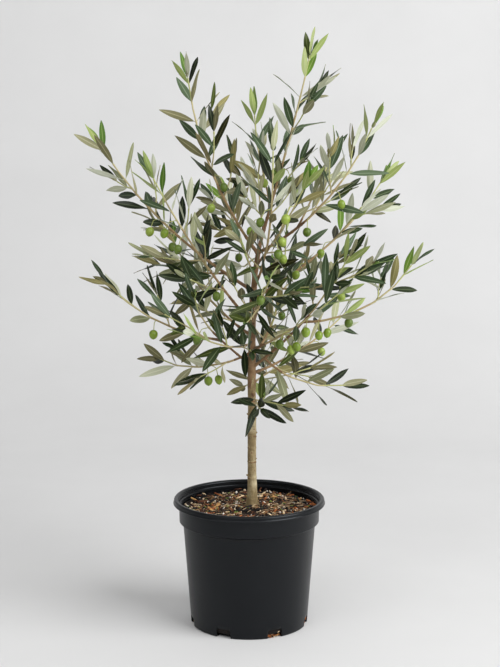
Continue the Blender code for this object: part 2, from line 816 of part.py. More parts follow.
def main():
    clear_scene()
    tree = new_collection("potted_olive_tree", bpy.context.scene.collection)
    scratch = new_collection("cutters", bpy.context.scene.collection)
    materials = {name: make_material(name, *values) for name, values in MATERIALS.items()}
    sections = {sides: section_curve(sides, scratch) for sides in (TWIG_SIDES, BOUGH_SIDES, TRUNK_SIDES)}
    lines = limb_lines()
    make_pot(tree, scratch, materials["black_plastic"])
    make_soil(tree, materials["potting_mix"])
    make_trunk(sections[TRUNK_SIDES], tree, materials["bark"])
    make_boughs(lines, sections, tree, scratch, materials["bark"])
    for spray in grow_all(lines):
        make_spray(spray, sections[TWIG_SIDES], tree, scratch, materials["olive_foliage"])
    for section in sections.values():
        drop(section)
    bpy.data.collections.remove(scratch)


main()
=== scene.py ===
"""Looks of the potted olive tree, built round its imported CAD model.

Metres, +Z up.  The tree is seen from -Y with +X to the right; headings are degrees about +Z from +X.
The crown grows by the same rule, sizes and dice as the CAD source, and is carried on to petioles,
finer twigs and axil leaves inside the same reach.
"""

import json
import math
import random
from collections import namedtuple
from itertools import product

import bmesh
import bpy
import numpy as np
from mathutils import Matrix, Vector
from mathutils.bvhtree import BVHTree

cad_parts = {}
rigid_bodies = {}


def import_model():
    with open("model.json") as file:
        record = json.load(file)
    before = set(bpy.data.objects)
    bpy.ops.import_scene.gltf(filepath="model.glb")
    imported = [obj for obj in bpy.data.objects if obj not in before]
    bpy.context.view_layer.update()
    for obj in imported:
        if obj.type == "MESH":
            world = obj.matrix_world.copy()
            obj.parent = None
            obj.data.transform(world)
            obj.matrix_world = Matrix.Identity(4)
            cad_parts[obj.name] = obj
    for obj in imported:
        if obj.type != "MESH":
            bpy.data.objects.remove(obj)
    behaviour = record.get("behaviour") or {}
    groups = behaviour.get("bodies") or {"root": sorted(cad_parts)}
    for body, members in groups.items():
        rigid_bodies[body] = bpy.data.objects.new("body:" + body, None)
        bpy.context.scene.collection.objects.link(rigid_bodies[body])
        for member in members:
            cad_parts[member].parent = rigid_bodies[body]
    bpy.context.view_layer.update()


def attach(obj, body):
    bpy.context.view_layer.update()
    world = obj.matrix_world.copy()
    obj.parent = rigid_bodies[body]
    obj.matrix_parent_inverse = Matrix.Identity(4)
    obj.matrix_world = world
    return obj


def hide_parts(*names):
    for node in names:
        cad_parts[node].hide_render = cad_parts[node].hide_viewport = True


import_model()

# ---------------------------------------------------------------- sizes shared with the CAD

CLEARANCE = 0.0003

POT_HEIGHT = 0.203
POT_RIM_RADIUS = 0.120
POT_FOOT_RADIUS = 0.0925
POT_TAPER = 0.0745          # growth of the wall's radius for each metre of height
POT_WALL = 0.0020
LIP_HEIGHT = 0.0085
COLLAR_RADIUS = 0.1105
COLLAR_FOOT = 0.1665        # height of the step where the collar meets the wall
DRAIN_COUNT = 7
DRAIN_WIDTH = 0.024
DRAIN_HEIGHT = 0.014
DRAIN_DEPTH = 0.012
DRAIN_FIRST_HEADING = -90 + 0.5 * 360 / DRAIN_COUNT
SOIL_TOP = 0.188

# trunk centre line and radius: height, sideways place, radius
TRUNK_KNOTS = (
    (SOIL_TOP + CLEARANCE, 0.0050, 0.0102),
    (0.1950, 0.0050, 0.0088),
    (0.2080, 0.0048, 0.0076),
    (0.2400, 0.0044, 0.0068),
    (0.3200, 0.0044, 0.0064),
    (0.4000, 0.0040, 0.0062),
    (0.4600, 0.0042, 0.0057),
    (0.5150, 0.0056, 0.0050),
    (0.5600, 0.0092, 0.0041),
    (0.5980, 0.0150, 0.0033),
)

BOUGH_STEP = 0.025
TIP_RADIUS = 0.0010
RADIUS_GAIN = 0.0052        # growth of a limb's base radius for each metre of its length
TWIG_RADIUS = 0.0012
TWIG_STEP = 0.045
STEM_COLLAR = 0.004         # straight foot of a leafy stem, in line with its bough
TWIG_FIRST = 0.012          # from the start of the stem to its first side twig
TWIG_LAST = 0.050           # no side twigs this near to the stem's tip
TWIG_SPACING = 0.052
TWIG_LONGEST = 0.075
TWIG_SHARE = 0.50           # a side twig's length as a share of the stem left beyond it
TWIG_SPREAD = 48            # degrees between a stem and the foot of its side twig
TWIG_LIFT = 0.12            # how strongly a side twig bends up

LEAF_LENGTH = 0.060
LEAF_WIDTH = 0.0120
LEAF_THICKNESS = 0.0014     # how far a blade's edges stand above its keel
LEAF_WIDEST = 0.46          # share of the length where the blade is widest
LEAF_SUNK = 0.0002          # how far a leaf's root runs past its twig's centre line
LEAF_FIRST = 0.010          # from the start of a twig to its first pair of leaves
NODE_SPACING = 0.0300       # from one pair of leaves to the next
TIP_SPACING = 0.62          # share of that spacing at a twig's tip
SPACING_GAIN = 8.0          # growth of that share for each metre from the tip
TIP_SIZE = 0.76             # size of the leaves at a twig's tip
SIZE_GAIN = 7.0             # growth of the size for each metre from the tip
TIP_SPREAD = 13             # degrees between a twig and the leaves at its tip
FULL_SPREAD = 48            # and farther down
SPREAD_GAIN = 650           # degrees gained for each metre from the tip
# sizes and turns about its twig, in degrees, that a leaf tries until it has room
LEAF_FITS = (
    (1.0, 0), (1.0, 24), (1.0, -24),
    (0.82, 0), (0.82, 40), (0.82, -40),
    (0.66, 0), (0.66, 60), (0.66, -60),
)
LEAF_TWIST = 85             # largest turn of a blade about its midrib, in degrees
GUARD = 0.0018              # air kept round a leaf, a twig and a limb
LAP = 0.018                 # how far a spray may reach in among its neighbour's stem
SEED = 1931

# growth finer than the CAD's
SHOOT_SHARE = 0.45          # share of the leaf pairs that carry an axil shoot
SHOOT_LENGTH = (0.008, 0.026)
SHOOT_SPREAD = (28, 52)     # degrees between a shoot and its twig
SHOOT_RADIUS = 0.0007
SHOOT_PAIRS = ((0.013, 46, 0.58), (0.0005, 24, 0.46))
BUD = (0.0, 12, 0.24)

OLIVE_LENGTH = 0.0150
OLIVE_WIDTH = 0.0128
STALK_LENGTH = 0.024
STALK_RADIUS = 0.0009
OLIVE_WINDOW = 0.10         # air kept open on the front of each fruit
OLIVE_TURNS = (0, 20, -20, 40, -40, 60, -60)    # degrees aside that an olive tries until it has room
HEXAGON = ((1, 0), (0.5, 0.87), (-0.5, 0.87), (-1, 0), (-0.5, -0.87), (0.5, -0.87))

Limb = namedtuple("Limb", "name parent at heading rise length bare olives")

# parent and place on it (height on the trunk, else share of the parent's length),
# heading and rise in degrees at base and tip, length, bare length, olives as (share of the length, heading)
LIMBS = (
    Limb("leader_right", "trunk", 0.598, (45, -5), (69, 78), 0.308, 0.082, ((0.42, 326), (0.46, 214))),
    Limb("leader_left", "trunk", 0.590, (178, 152), (53, 82), 0.294, 0.035, ((0.36, 206), (0.48, 334))),
    Limb("right_upper", "trunk", 0.592, (-33, -7), (25, 68), 0.271, 0.094, ((0.38, 262), (0.60, 300))),
    Limb("leader_middle", "leader_right", 0.09, (252, 175), (69, 93), 0.091, 0.015, ((0.24, 206),)),
    Limb("middle_top", "leader_right", 0.20, (87, 167), (44, 91), 0.161, 0.015, ((0.46, 278),)),
    Limb("right_inner", "right_upper", 0.30, (43, 56), (55, 48), 0.141, 0.015, ()),
    Limb("left_upper", "trunk", 0.532, (186, 156), (31, 54), 0.330, 0.074, ((0.56, 222), (0.46, 262))),
    Limb("left_side", "left_upper", 0.16, (124, 152), (-9, 11), 0.150, 0.015, ()),
    Limb("left_middle", "trunk", 0.480, (206, 189), (48, 63), 0.278, 0.060,
         ((0.32, 262), (0.64, 190), (0.74, 190))),
    Limb("right_middle", "trunk", 0.520, (-8, 40), (30, 50), 0.284, 0.055, ((0.36, 190), (0.54, 190))),
    Limb("left_low", "trunk", 0.414, (189, 269), (40, 41), 0.185, 0.092, ((0.56, 198),)),
    Limb("left_low_outer", "left_low", 0.37, (165, 210), (5, 49), 0.206, 0.015, ((0.52, 262),)),
    Limb("left_lowest", "trunk", 0.436, (191, 125), (-27, 13), 0.174, 0.030, ((0.38, 302), (0.44, 302))),
    Limb("right_low", "trunk", 0.411, (-22, -39), (37, 58), 0.251, 0.134, ()),
    Limb("right_low_outer", "right_low", 0.47, (-12, 22), (0, 54), 0.196, 0.015,
         ((0.12, 270), (0.24, 238), (0.46, 198))),
    Limb("right_lowest", "right_low", 0.11, (-12, 15), (-45, 7), 0.140, 0.035, ()),
    Limb("front_low", "trunk", 0.372, (281, 269), (-13, 15), 0.140, 0.020, ()),
    Limb("right_back", "trunk", 0.402, (44, 40), (7, 34), 0.234, 0.030, ((0.60, 40),)),
    Limb("right_front", "trunk", 0.440, (318, 330), (22, 42), 0.190, 0.030,
         ((0.66, 254), (0.38, 350), (0.44, 214), (0.32, 342))),
    Limb("right_side", "right_middle", 0.12, (338, 312), (-4, 34), 0.190, 0.015, ((0.60, 250),)),
    Limb("front_right", "trunk", 0.474, (276, 277), (28, 22), 0.250, 0.030, ((0.84, 240),)),
    Limb("front_left", "trunk", 0.452, (253, 220), (-6, 30), 0.164, 0.030, ()),
    Limb("front_middle", "trunk", 0.538, (293, 276), (40, 93), 0.241, 0.030, ((0.50, 326), (0.64, 206))),
    Limb("back_lowest", "trunk", 0.384, (79, 65), (0, 2), 0.201, 0.030, ()),
    Limb("back_left", "trunk", 0.462, (138, 128), (20, 54), 0.245, 0.035, ((0.60, 120),)),
    Limb("back_middle", "trunk", 0.430, (60, 84), (20, 71), 0.248, 0.035, ((0.50, 70),)),
    Limb("back_upper", "trunk", 0.552, (99, 114), (17, 49), 0.217, 0.040, ((0.45, 110),)),
    Limb("front_upper", "trunk", 0.572, (288, 308), (26, 55), 0.203, 0.035,
         ((0.34, 350), (0.42, 286), (0.82, 222))),
)

# ---------------------------------------------------------------- limbs


def direction(heading, rise):
    flat = math.cos(math.radians(rise))
    heading = math.radians(heading)
    return Vector((flat * math.cos(heading), flat * math.sin(heading), math.sin(math.radians(rise))))


def limb_line(limb, start):
    """Knots of a limb's centre line: its heading and rise change evenly from base to tip."""
    count = math.ceil(limb.length / 0.01)
    knots = [start]
    for i in range(count):
        share = (i + 0.5) / count
        heading = limb.heading[0] + share * (limb.heading[1] - limb.heading[0])
        rise = limb.rise[0] + share * (limb.rise[1] - limb.rise[0])
        knots.append(knots[-1] + direction(heading, rise) * (limb.length / count))
    return knots


def along(knots, distance):
    """Point and direction at a distance along a line of knots."""
    for a, b in zip(knots, knots[1:]):
        step = (b - a).length
        if distance <= step:
            return a + (b - a) * (distance / step), (b - a).normalized()
        distance -= step
    return knots[-1].copy(), (knots[-1] - knots[-2]).normalized()


def stretch(knots, start, end, step):
    """Evenly spaced points of a line from one distance to another."""
    count = max(1, round((end - start) / step))
    return [along(knots, start + (end - start) * i / count)[0] for i in range(count + 1)]


def line_length(knots):
    return sum((b - a).length for a, b in zip(knots, knots[1:]))


def limb_radius(length, distance):
    """A limb's radius at a distance from its base."""
    left = max(0.0, 1.0 - distance / length)
    return TIP_RADIUS + RADIUS_GAIN * length * left ** 0.8


def trunk_point(height):
    for (low, x0, _), (high, x1, _) in zip(TRUNK_KNOTS, TRUNK_KNOTS[1:]):
        if height <= high:
            share = (height - low) / (high - low)
            return Vector((x0 + share * (x1 - x0), 0.0, height))
    return Vector((TRUNK_KNOTS[-1][1], 0.0, TRUNK_KNOTS[-1][0]))


def limb_lines():
    """The centre line of every limb, by name."""
    lines = {"trunk": [Vector((sideways, 0.0, height)) for height, sideways, _ in TRUNK_KNOTS]}
    for limb in LIMBS:
        if limb.parent == "trunk":
            start = trunk_point(limb.at)
        else:
            parent = lines[limb.parent]
            start = along(parent, limb.at * line_length(parent))[0]
        lines[limb.name] = limb_line(limb, start)
    return lines


LINES = limb_lines()

# ---------------------------------------------------------------- the growing rule

Leaf = namedtuple("Leaf", "root along face length width droop")
Twig = namedtuple("Twig", "name knots radii")
Olive = namedtuple("Olive", "stalk centre axis")
Spray = namedtuple("Spray", "twigs leaves olives shoots small")
Guard = namedtuple("Guard", "owner centre reach tree")
UP = Vector((0, 0, 1))


def square_to(axis, hint):
    """The part of a hint that is square to an axis, as a unit vector."""
    side = hint - axis * hint.dot(axis)
    return side.normalized() if side.length > 0.000001 else axis.orthogonal().normalized()


def outward(axis, roll):
    """The unit vector square to an axis at a roll, counted from straight up."""
    return Matrix.Rotation(math.radians(roll), 3, axis) @ square_to(axis, UP)


def leaning(axis, out, spread):
    """The direction that lies at a spread, in radians, between an axis and one square to it."""
    return axis * math.cos(spread) + out * math.sin(spread)


def ring_about(axis, side, count):
    """A vector turned to evenly spaced places all round an axis."""
    return [Matrix.Rotation(math.tau * i / count, 3, axis) @ side for i in range(count)]


def leaf_point(leaf, share):
    """A point on the midrib, which droops away from the leaf's face."""
    return leaf.root + (leaf.along * share - leaf.face * (leaf.droop * share * share)) * leaf.length


def leaf_corners(leaf, margin=0.0):
    """The four corners of a keeled blade: root, tip and the two edges, which stand above the keel."""
    middle = leaf_point(leaf, LEAF_WIDEST) + leaf.face * (LEAF_THICKNESS + margin)
    side = leaf.along.cross(leaf.face) * (leaf.width / 2 + margin)
    return [leaf.root, leaf_point(leaf, 1.0) + leaf.along * margin, middle + side, middle - side]


def hull_of(points):
    """A new mesh form of the convex hull of some points, and the points left inside it."""
    form = bmesh.new()
    for point in points:
        form.verts.new(point)
    inner = bmesh.ops.convex_hull(form, input=form.verts)["geom_interior"]
    return form, [part for part in inner if isinstance(part, bmesh.types.BMVert)]


def hull_guard(owner, points):
    """The convex hull of some points, to be tested against other guards."""
    form, _ = hull_of(points)
    tree = BVHTree.FromBMesh(form)
    form.free()
    centre = sum(points, Vector()) / len(points)
    return Guard(owner, centre, max((point - centre).length for point in points), tree)


def wood_guards(owner, knots, radii):
    """Guards along a limb or twig, one for each stretch."""
    guards = []
    for a, b, near, far in zip(knots, knots[1:], radii, radii[1:]):
        axis = (b - a).normalized()
        side = axis.orthogonal().normalized()
        other = axis.cross(side)
        ring = [centre + (side * u + other * v) * (radius + GUARD)
                for centre, radius in ((a, near), (b, far)) for u, v in HEXAGON]
        guards.append(hull_guard(owner, ring))
    return guards


def is_free(guard, guards, own):
    """Whether a guard touches none of the others, leaving out those of the named owners."""
    for other in guards:
        if other.owner not in own and (other.centre - guard.centre).length < other.reach + guard.reach:
            if guard.tree.overlap(other.tree):
                return False
    return True


def claim(own, guards, near):
    """Add a form's own guards to the others if it has room beside all but those of the owners near it."""
    free = all(is_free(guard, guards, near) for guard in own)
    if free:
        guards.extend(own)
    return free


def gap_to(point, knots):
    """Distance from a point to a line of knots."""
    best = math.inf
    for a, b in zip(knots, knots[1:]):
        share = min(1.0, max(0.0, (point - a).dot(b - a) / (b - a).length_squared))
        best = min(best, (a + (b - a) * share - point).length)
    return best


def in_own_space(point, limb):
    """Whether a point is no nearer to another limb's line than the lap allows."""
    own = gap_to(point, LINES[limb.name])
    return all(gap_to(point, LINES[other.name]) > own - LAP for other in LIMBS if other != limb)


def stem_twig(limb):
    """The leafy stretch of a limb, which starts square to the flat end of its bough."""
    line = LINES[limb.name]
    bough = stretch(line, 0.0, limb.bare, BOUGH_STEP)
    ahead = (bough[-1] - bough[-2]).normalized()
    foot = bough[-1] + ahead * CLEARANCE
    knots = [foot, foot + ahead * STEM_COLLAR]
    knots += stretch(line, limb.bare + 4 * STEM_COLLAR, limb.length, TWIG_STEP)
    radii = [limb_radius(limb.length, limb.bare + line_length(knots[:i + 1])) for i in range(len(knots))]
    return Twig("stem of " + limb.name, knots, radii)


def grow_twigs(limb, guards):
    """The stem of a spray and the side twigs that find room."""
    dice = random.Random(SEED + LIMBS.index(limb))
    stem = stem_twig(limb)
    reach = line_length(stem.knots)
    twigs = [stem]
    spot = TWIG_FIRST
    roll = dice.uniform(0, 360)
    while spot < reach - TWIG_LAST:
        root, axis = along(stem.knots, spot)
        length = min(TWIG_LONGEST, TWIG_SHARE * (reach - spot)) * dice.uniform(0.8, 1.15)
        for turn in (0, 180):
            twig = side_twig("twig %d of %s" % (len(twigs), limb.name), root, axis, roll + turn, length)
            own = wood_guards(twig.name, twig.knots, twig.radii)
            if in_own_space(twig.knots[-1], limb) and claim(own, guards, [stem.name]):
                twigs.append(twig)
                break
        roll += 90 + dice.uniform(-20, 20)
        spot += TWIG_SPACING * dice.uniform(0.85, 1.15)
    return twigs


def side_twig(name, root, axis, roll, length):
    """A twig that leaves its stem widely and bends forward and up."""
    out = outward(axis, roll)
    knots = [root]
    for share in (0.0, 0.5):
        spread = math.radians(TWIG_SPREAD * (1.0 - 0.45 * share))
        heading = leaning(axis, out, spread) + UP * TWIG_LIFT
        knots.append(knots[-1] + heading.normalized() * (length / 2))
    return Twig(name, knots, [TWIG_RADIUS, (TWIG_RADIUS + TIP_RADIUS) / 2, TIP_RADIUS])


def olive_at(root, heading):
    """An olive that hangs from a point of a stem, to the side of the given heading."""
    elbow = root + direction(heading, -10) * (STALK_LENGTH * 0.5)
    end = elbow + direction(heading, -65) * (STALK_LENGTH * 0.5)
    axis = direction(heading, -72)
    return Olive([root, elbow, end + axis * 0.002], end + axis * (OLIVE_LENGTH * 0.45), axis)


def olive_guards(olive):
    side = square_to(olive.axis, UP) * (OLIVE_WIDTH * 0.5)
    ring = [olive.centre + spot for spot in ring_about(olive.axis, side, 6)]
    half = olive.axis * (OLIVE_LENGTH * 0.5)
    ends = [olive.centre + half, olive.centre - half]
    return wood_guards("olive", olive.stalk, [STALK_RADIUS] * 3) + [hull_guard("olive", ends + ring)]


def open_front(olive):
    """A slim guard on the front of an olive, where nothing may hang over it."""
    ahead = direction(-90, 9)
    side = square_to(ahead, Vector((1, 0, 0))) * (OLIVE_WIDTH * 0.3)
    ring = ring_about(ahead, side, 4)
    ends = (Vector(), ahead * OLIVE_WINDOW)
    return hull_guard("olive", [olive.centre + spot + end for end in ends for spot in ring])


def grow_olives(limb, guards):
    """Olives that hang at the named shares of the limb, turned aside where there is no room."""
    olives = []
    for share, heading in limb.olives:
        root, _ = along(LINES[limb.name], share * limb.length)
        for turn in OLIVE_TURNS:
            olive = olive_at(root, heading + turn)
            if claim(olive_guards(olive), guards, ["stem of " + limb.name]):
                guards.append(open_front(olive))
                olives.append(olive)
                break
    return olives


def make_leaf(dice, root, axis, roll, spread, size):
    """A leaf that leaves its twig at the given spread, its face towards the twig's tip."""
    spread = math.radians(spread + dice.uniform(-8, 10))
    out = outward(axis, roll)
    heading = (leaning(axis, out, spread) + UP * dice.uniform(-0.1, 0.2)).normalized()
    face = square_to(heading, axis * math.sin(spread) - out * math.cos(spread))
    face = Matrix.Rotation(math.radians(dice.uniform(-LEAF_TWIST, LEAF_TWIST)), 3, heading) @ face
    length = LEAF_LENGTH * size * dice.uniform(0.86, 1.12)
    width = LEAF_WIDTH * (0.35 + 0.65 * size) * dice.uniform(0.88, 1.1)
    return Leaf(root - heading * LEAF_SUNK, heading, face, length, width, dice.uniform(-0.04, 0.13))


def fitted_leaf(leaf, axis, node, twig, limb, guards):
    """The leaf if it has room, else one turned aside or a shorter one, else none."""
    for size, turn in LEAF_FITS:
        turned = Matrix.Rotation(math.radians(turn), 3, axis)
        trial = leaf._replace(along=turned @ leaf.along, face=turned @ leaf.face,
                              length=leaf.length * size, width=leaf.width * (0.3 + 0.7 * size))
        own = [hull_guard(node, leaf_corners(trial, GUARD / 2))]
        if in_own_space(leaf_point(trial, 1.0), limb) and claim(own, guards, [twig.name, node]):
            return trial
    return None


def leaf_spots(length):
    """Where the pairs of leaves stand along a twig."""
    spots = [LEAF_FIRST]
    while spots[-1] < length:
        share = min(1.0, TIP_SPACING + SPACING_GAIN * (length - spots[-1]))
        spots.append(spots[-1] + NODE_SPACING * share)
    spots[-1] = length - 0.001
    return spots


def grow_leaves(limb, twigs, guards):
    """Crossed pairs of leaves along each twig, closer and smaller towards its tip."""
    dice = random.Random(SEED * 2 + LIMBS.index(limb))
    leaves = []
    for twig in twigs:
        length = line_length(twig.knots)
        roll = dice.uniform(0, 360)
        for i, spot in enumerate(leaf_spots(length)):
            left = length - spot
            root, axis = along(twig.knots, spot)
            size = min(1.0, TIP_SIZE + SIZE_GAIN * left)
            spread = min(FULL_SPREAD, TIP_SPREAD + SPREAD_GAIN * left)
            for turn in (0, 180):
                leaf = make_leaf(dice, root, axis, roll + turn, spread, size)
                leaves.append(fitted_leaf(leaf, axis, "pair %d of %s" % (i, twig.name), twig, limb, guards))
            roll += 90 + dice.uniform(-14, 14)
    return [leaf for leaf in leaves if leaf]


def spray_box(twigs, leaves):
    """The two corners of the box round a spray's leaves and twigs."""
    points = [point for leaf in leaves for point in leaf_corners(leaf)]
    points += [point for twig in twigs for point in twig.knots]
    return [Vector(end(point[i] for point in points) for i in range(3)) for end in (min, max)]


def inside(point, box):
    return all(low <= value <= high for low, value, high in zip(box[0], point, box[1]))


def axil_shoot(dice, name, root, axis, roll):
    """A short shoot that stands in the angle above a leaf."""
    length = dice.uniform(*SHOOT_LENGTH)
    spread = math.radians(dice.uniform(*SHOOT_SPREAD))
    heading = leaning(axis, outward(axis, roll), spread).normalized()
    bend = (heading + axis * 0.3 + UP * 0.1).normalized()
    knots = [root, root + heading * (length * 0.5)]
    knots.append(knots[-1] + bend * (length * 0.5))
    return Twig(name, knots, [SHOOT_RADIUS, SHOOT_RADIUS * 0.9, SHOOT_RADIUS * 0.7])


def grow_finer(limb, twigs, leaves, guards):
    """The same rule carried to axil shoots and buds, inside the box of the spray they stand in."""
    dice = random.Random(SEED * 3 + LIMBS.index(limb))
    box = spray_box(twigs, leaves)
    shoots, small = [], []
    for twig in twigs:
        spots = leaf_spots(line_length(twig.knots))
        for spot in [spot for spot in spots[:-1] if dice.random() < SHOOT_SHARE]:
            root, axis = along(twig.knots, spot)
            roll = dice.uniform(0, 360)
            shoot = axil_shoot(dice, "shoot %d of %s" % (len(shoots), limb.name), root, axis, roll)
            own = wood_guards(shoot.name, shoot.knots, shoot.radii)
            if inside(shoot.knots[-1], box) and claim(own, guards, [twig.name]):
                shoots.append(shoot)
                small += shoot_leaves(dice, shoot, guards, box, SHOOT_PAIRS)
        small += shoot_leaves(dice, twig, guards, box, (BUD,))
    return shoots, small


def shoot_leaves(dice, twig, guards, box, pairs):
    """Small leaves in crossed pairs; each pair is (distance from the tip, spread, size)."""
    length = line_length(twig.knots)
    last = "pair %d of %s" % (len(leaf_spots(length)) - 1, twig.name)
    near = [twig.name, last]
    roll = dice.uniform(0, 360)
    grown = []
    for i, (left, spread, size) in enumerate(pairs):
        if left > length * 0.8:
            continue
        root, axis = along(twig.knots, length - left)
        size *= dice.uniform(0.75, 1.15)
        near.append("small pair %d of %s" % (i, twig.name))
        for turn in (0, 180):
            leaf = make_leaf(dice, root, axis, roll + turn, spread, size)
            own = [hull_guard(near[-1], leaf_corners(leaf, GUARD / 4))]
            if inside(leaf_point(leaf, 1.0), box) and claim(own, guards, near):
                grown.append(leaf)
        roll += 90
    return grown


def grow_all():
    """Every spray of the tree: the limbs claim their room first, then olives, twigs and leaves."""
    guards = wood_guards("trunk", LINES["trunk"], [radius for _, _, radius in TRUNK_KNOTS])
    for limb in LIMBS:
        knots = stretch(LINES[limb.name], 0.0, limb.length, BOUGH_STEP)
        share = limb.length / (len(knots) - 1)
        radii = [limb_radius(limb.length, share * i) for i in range(len(knots))]
        guards.extend(wood_guards("stem of " + limb.name, knots, radii))
    olives = [grow_olives(limb, guards) for limb in LIMBS]
    twigs = [grow_twigs(limb, guards) for limb in LIMBS]
    leaves = [grow_leaves(limb, own, guards) for limb, own in zip(LIMBS, twigs)]
    finer = [grow_finer(limb, *own, guards) for limb, *own in zip(LIMBS, twigs, leaves)]
    return [Spray(*parts, *more) for *parts, more in zip(twigs, leaves, olives, finer)]


# ---------------------------------------------------------------- colours and materials


def linear(*colour):
    """A display colour of 0 to 255 as the linear colour that a shader takes."""
    shares = [value / 255 for value in colour]
    return tuple(share / 12.92 if share <= 0.04045 else ((share + 0.055) / 1.055) ** 2.4 for share in shares)


def plain(name, colour, roughness, shine=0.5):
    """A material of one display colour; the pieces that use it deal out many such tints."""
    material = bpy.data.materials.new(name)
    material.use_nodes = True
    shader = material.node_tree.nodes["Principled BSDF"]
    shader.inputs["Base Color"].default_value = material.diffuse_color = (*linear(*colour), 1.0)
    shader.inputs["Roughness"].default_value = roughness
    shader.inputs["Specular IOR Level"].default_value = shine
    return material


class Nodes:
    """Short calls that add linked shader nodes to one material; its colours are display colours."""

    def __init__(self, name):
        self.material = bpy.data.materials.new(name)
        self.material.use_nodes = True
        self.tree = self.material.node_tree
        self.shader = self.tree.nodes["Principled BSDF"]
        self.place = self.add("ShaderNodeTexCoord").outputs["Object"]

    def add(self, kind, **settings):
        node = self.tree.nodes.new(kind)
        for key, value in settings.items():
            setattr(node, key, value)
        return node

    def feed(self, node, values):
        """Set or link sockets: a colour, a number, or another node's output."""
        for key, value in values.items():
            socket = node.inputs[key]
            if isinstance(value, bpy.types.NodeSocket):
                self.tree.links.new(value, socket)
            else:
                socket.default_value = value

    def noise(self, scale, detail=4.0, rough=0.55, stretch=None):
        """Noise over the object's own place, which may be stretched first."""
        place = self.place
        if stretch:
            mapping = self.add("ShaderNodeMapping")
            self.feed(mapping, {"Scale": stretch, "Vector": place})
            place = mapping.outputs["Vector"]
        node = self.add("ShaderNodeTexNoise")
        self.feed(node, {"Scale": scale, "Detail": detail, "Roughness": rough, "Vector": place})
        return node.outputs["Fac"]

    def ramp(self, value, *stops):
        """Colours along a value; the stops are (value, colour)."""
        node = self.add("ShaderNodeValToRGB")
        band = node.color_ramp
        while len(band.elements) < len(stops):
            band.elements.new(0.5)
        for element, (spot, colour) in zip(band.elements, stops):
            element.position = spot
            element.color = (*linear(*colour), 1.0)
        self.feed(node, {"Fac": value})
        return node.outputs["Color"]

    def span(self, value, low, high, to_low, to_high):
        node = self.add("ShaderNodeMapRange")
        self.feed(node, {"Value": value, "From Min": low, "From Max": high,
                         "To Min": to_low, "To Max": to_high})
        return node.outputs["Result"]

    def over(self, colour, value, low, high, most, tint):
        """A tint laid over a colour, from nothing at the low value to most of it at the high one."""
        node = self.add("ShaderNodeMix", data_type="RGBA")
        self.feed(node, {0: self.span(value, low, high, 0.0, most), 6: colour, 7: (*linear(*tint), 1.0)})
        return node.outputs[2]

    def bump(self, height, strength, distance):
        node = self.add("ShaderNodeBump")
        self.feed(node, {"Strength": strength, "Distance": distance, "Height": height})
        return node.outputs["Normal"]

    def finish(self, colour, roughness, normal=None):
        self.feed(self.shader, {"Base Color": colour, "Roughness": roughness})
        if normal:
            self.feed(self.shader, {"Normal": normal})
        return self.material


def grained(name, noise, stops, roughness, relief):
    """A material whose colour and relief both follow one noise."""
    n = Nodes(name)
    grain = n.noise(*noise)
    return n.finish(n.ramp(grain, *stops), roughness, n.bump(grain, *relief))


def black_plastic():
    """Satin black polypropylene: fine grain, faint dust and rubbed patches."""
    n = Nodes("moulded_black_plastic")
    cloud = n.noise(9.0, 5.0)
    colour = n.ramp(cloud, (0.30, (4, 4, 6)), (0.72, (8, 9, 11)))
    colour = n.over(colour, n.noise(60.0, 6.0, 0.65), 0.62, 0.82, 0.07, (78, 76, 72))
    n.feed(n.shader, {"Specular IOR Level": 0.29, "Specular Tint": (0.88, 0.94, 1.0, 1.0)})
    return n.finish(colour, n.span(cloud, 0.3, 0.7, 0.30, 0.40), n.bump(n.noise(1400.0, 2.0), 0.18, 0.0004))


def bark():
    """Smooth young bark: tan and grey-green patches, fine bands, pale pores and fine cracks."""
    n = Nodes("olive_bark")
    fine = n.noise(420.0, 4.0, 0.6, (1.0, 1.0, 0.22))
    pores = n.noise(520.0, 2.0, 0.5, (0.5, 0.5, 1.6))
    bands = n.noise(190.0, 3.0, 0.6, (0.22, 0.22, 2.4))
    patches = n.noise(38.0, 5.0, 0.6)
    colour = n.ramp(patches, (0.25, (86, 68, 38)), (0.48, (135, 116, 77)), (0.72, (200, 187, 152)))
    colour = n.over(colour, fine, 0.45, 0.72, 0.50, (88, 73, 48))
    colour = n.over(colour, bands, 0.54, 0.70, 0.50, (96, 78, 50))
    colour = n.over(colour, pores, 0.66, 0.74, 0.70, (214, 204, 176))
    height = n.add("ShaderNodeMath", operation="ADD")
    n.feed(height, {0: fine, 1: pores})
    return n.finish(colour, n.span(fine, 0.3, 0.7, 0.62, 0.82), n.bump(height.outputs[0], 0.6, 0.0005))


def bough_bark():
    """The browner bark of the boughs, darkened partly as painted shade of the crown over them."""
    n = Nodes("bough_bark")
    fine = n.noise(520.0, 4.0, 0.6)
    patches = n.noise(60.0, 5.0, 0.6)
    colour = n.ramp(patches, (0.28, (90, 64, 42)), (0.50, (118, 89, 59)), (0.74, (150, 121, 85)))
    colour = n.over(colour, fine, 0.50, 0.74, 0.5, (86, 62, 40))
    return n.finish(colour, 0.72, n.bump(fine, 0.4, 0.0003))


def bark_scar():
    """The brown corky bark of rings and scars."""
    stops = ((0.30, (84, 58, 36)), (0.70, (140, 106, 70)))
    return grained("bark_scar", (700.0, 3.0, 0.6), stops, 0.85, (0.6, 0.0004))


def compost():
    """Dark moist compost between the chips."""
    stops = ((0.30, (7, 4, 3)), (0.52, (20, 12, 7)), (0.75, (54, 35, 18)))
    return grained("compost", (260.0, 6.0, 0.7), stops, 0.95, (0.9, 0.002))


def wood_chips(kinds):
    """Chips of composted bark and the like with their grain: name, dark and light colour of each kind."""
    grain = (330.0, 5.0, 0.65, (1.0, 0.35, 1.0))
    return [grained(name, grain, ((0.30, dark), (0.70, light)), 0.85, (0.6, 0.0006))
            for name, dark, light in kinds]


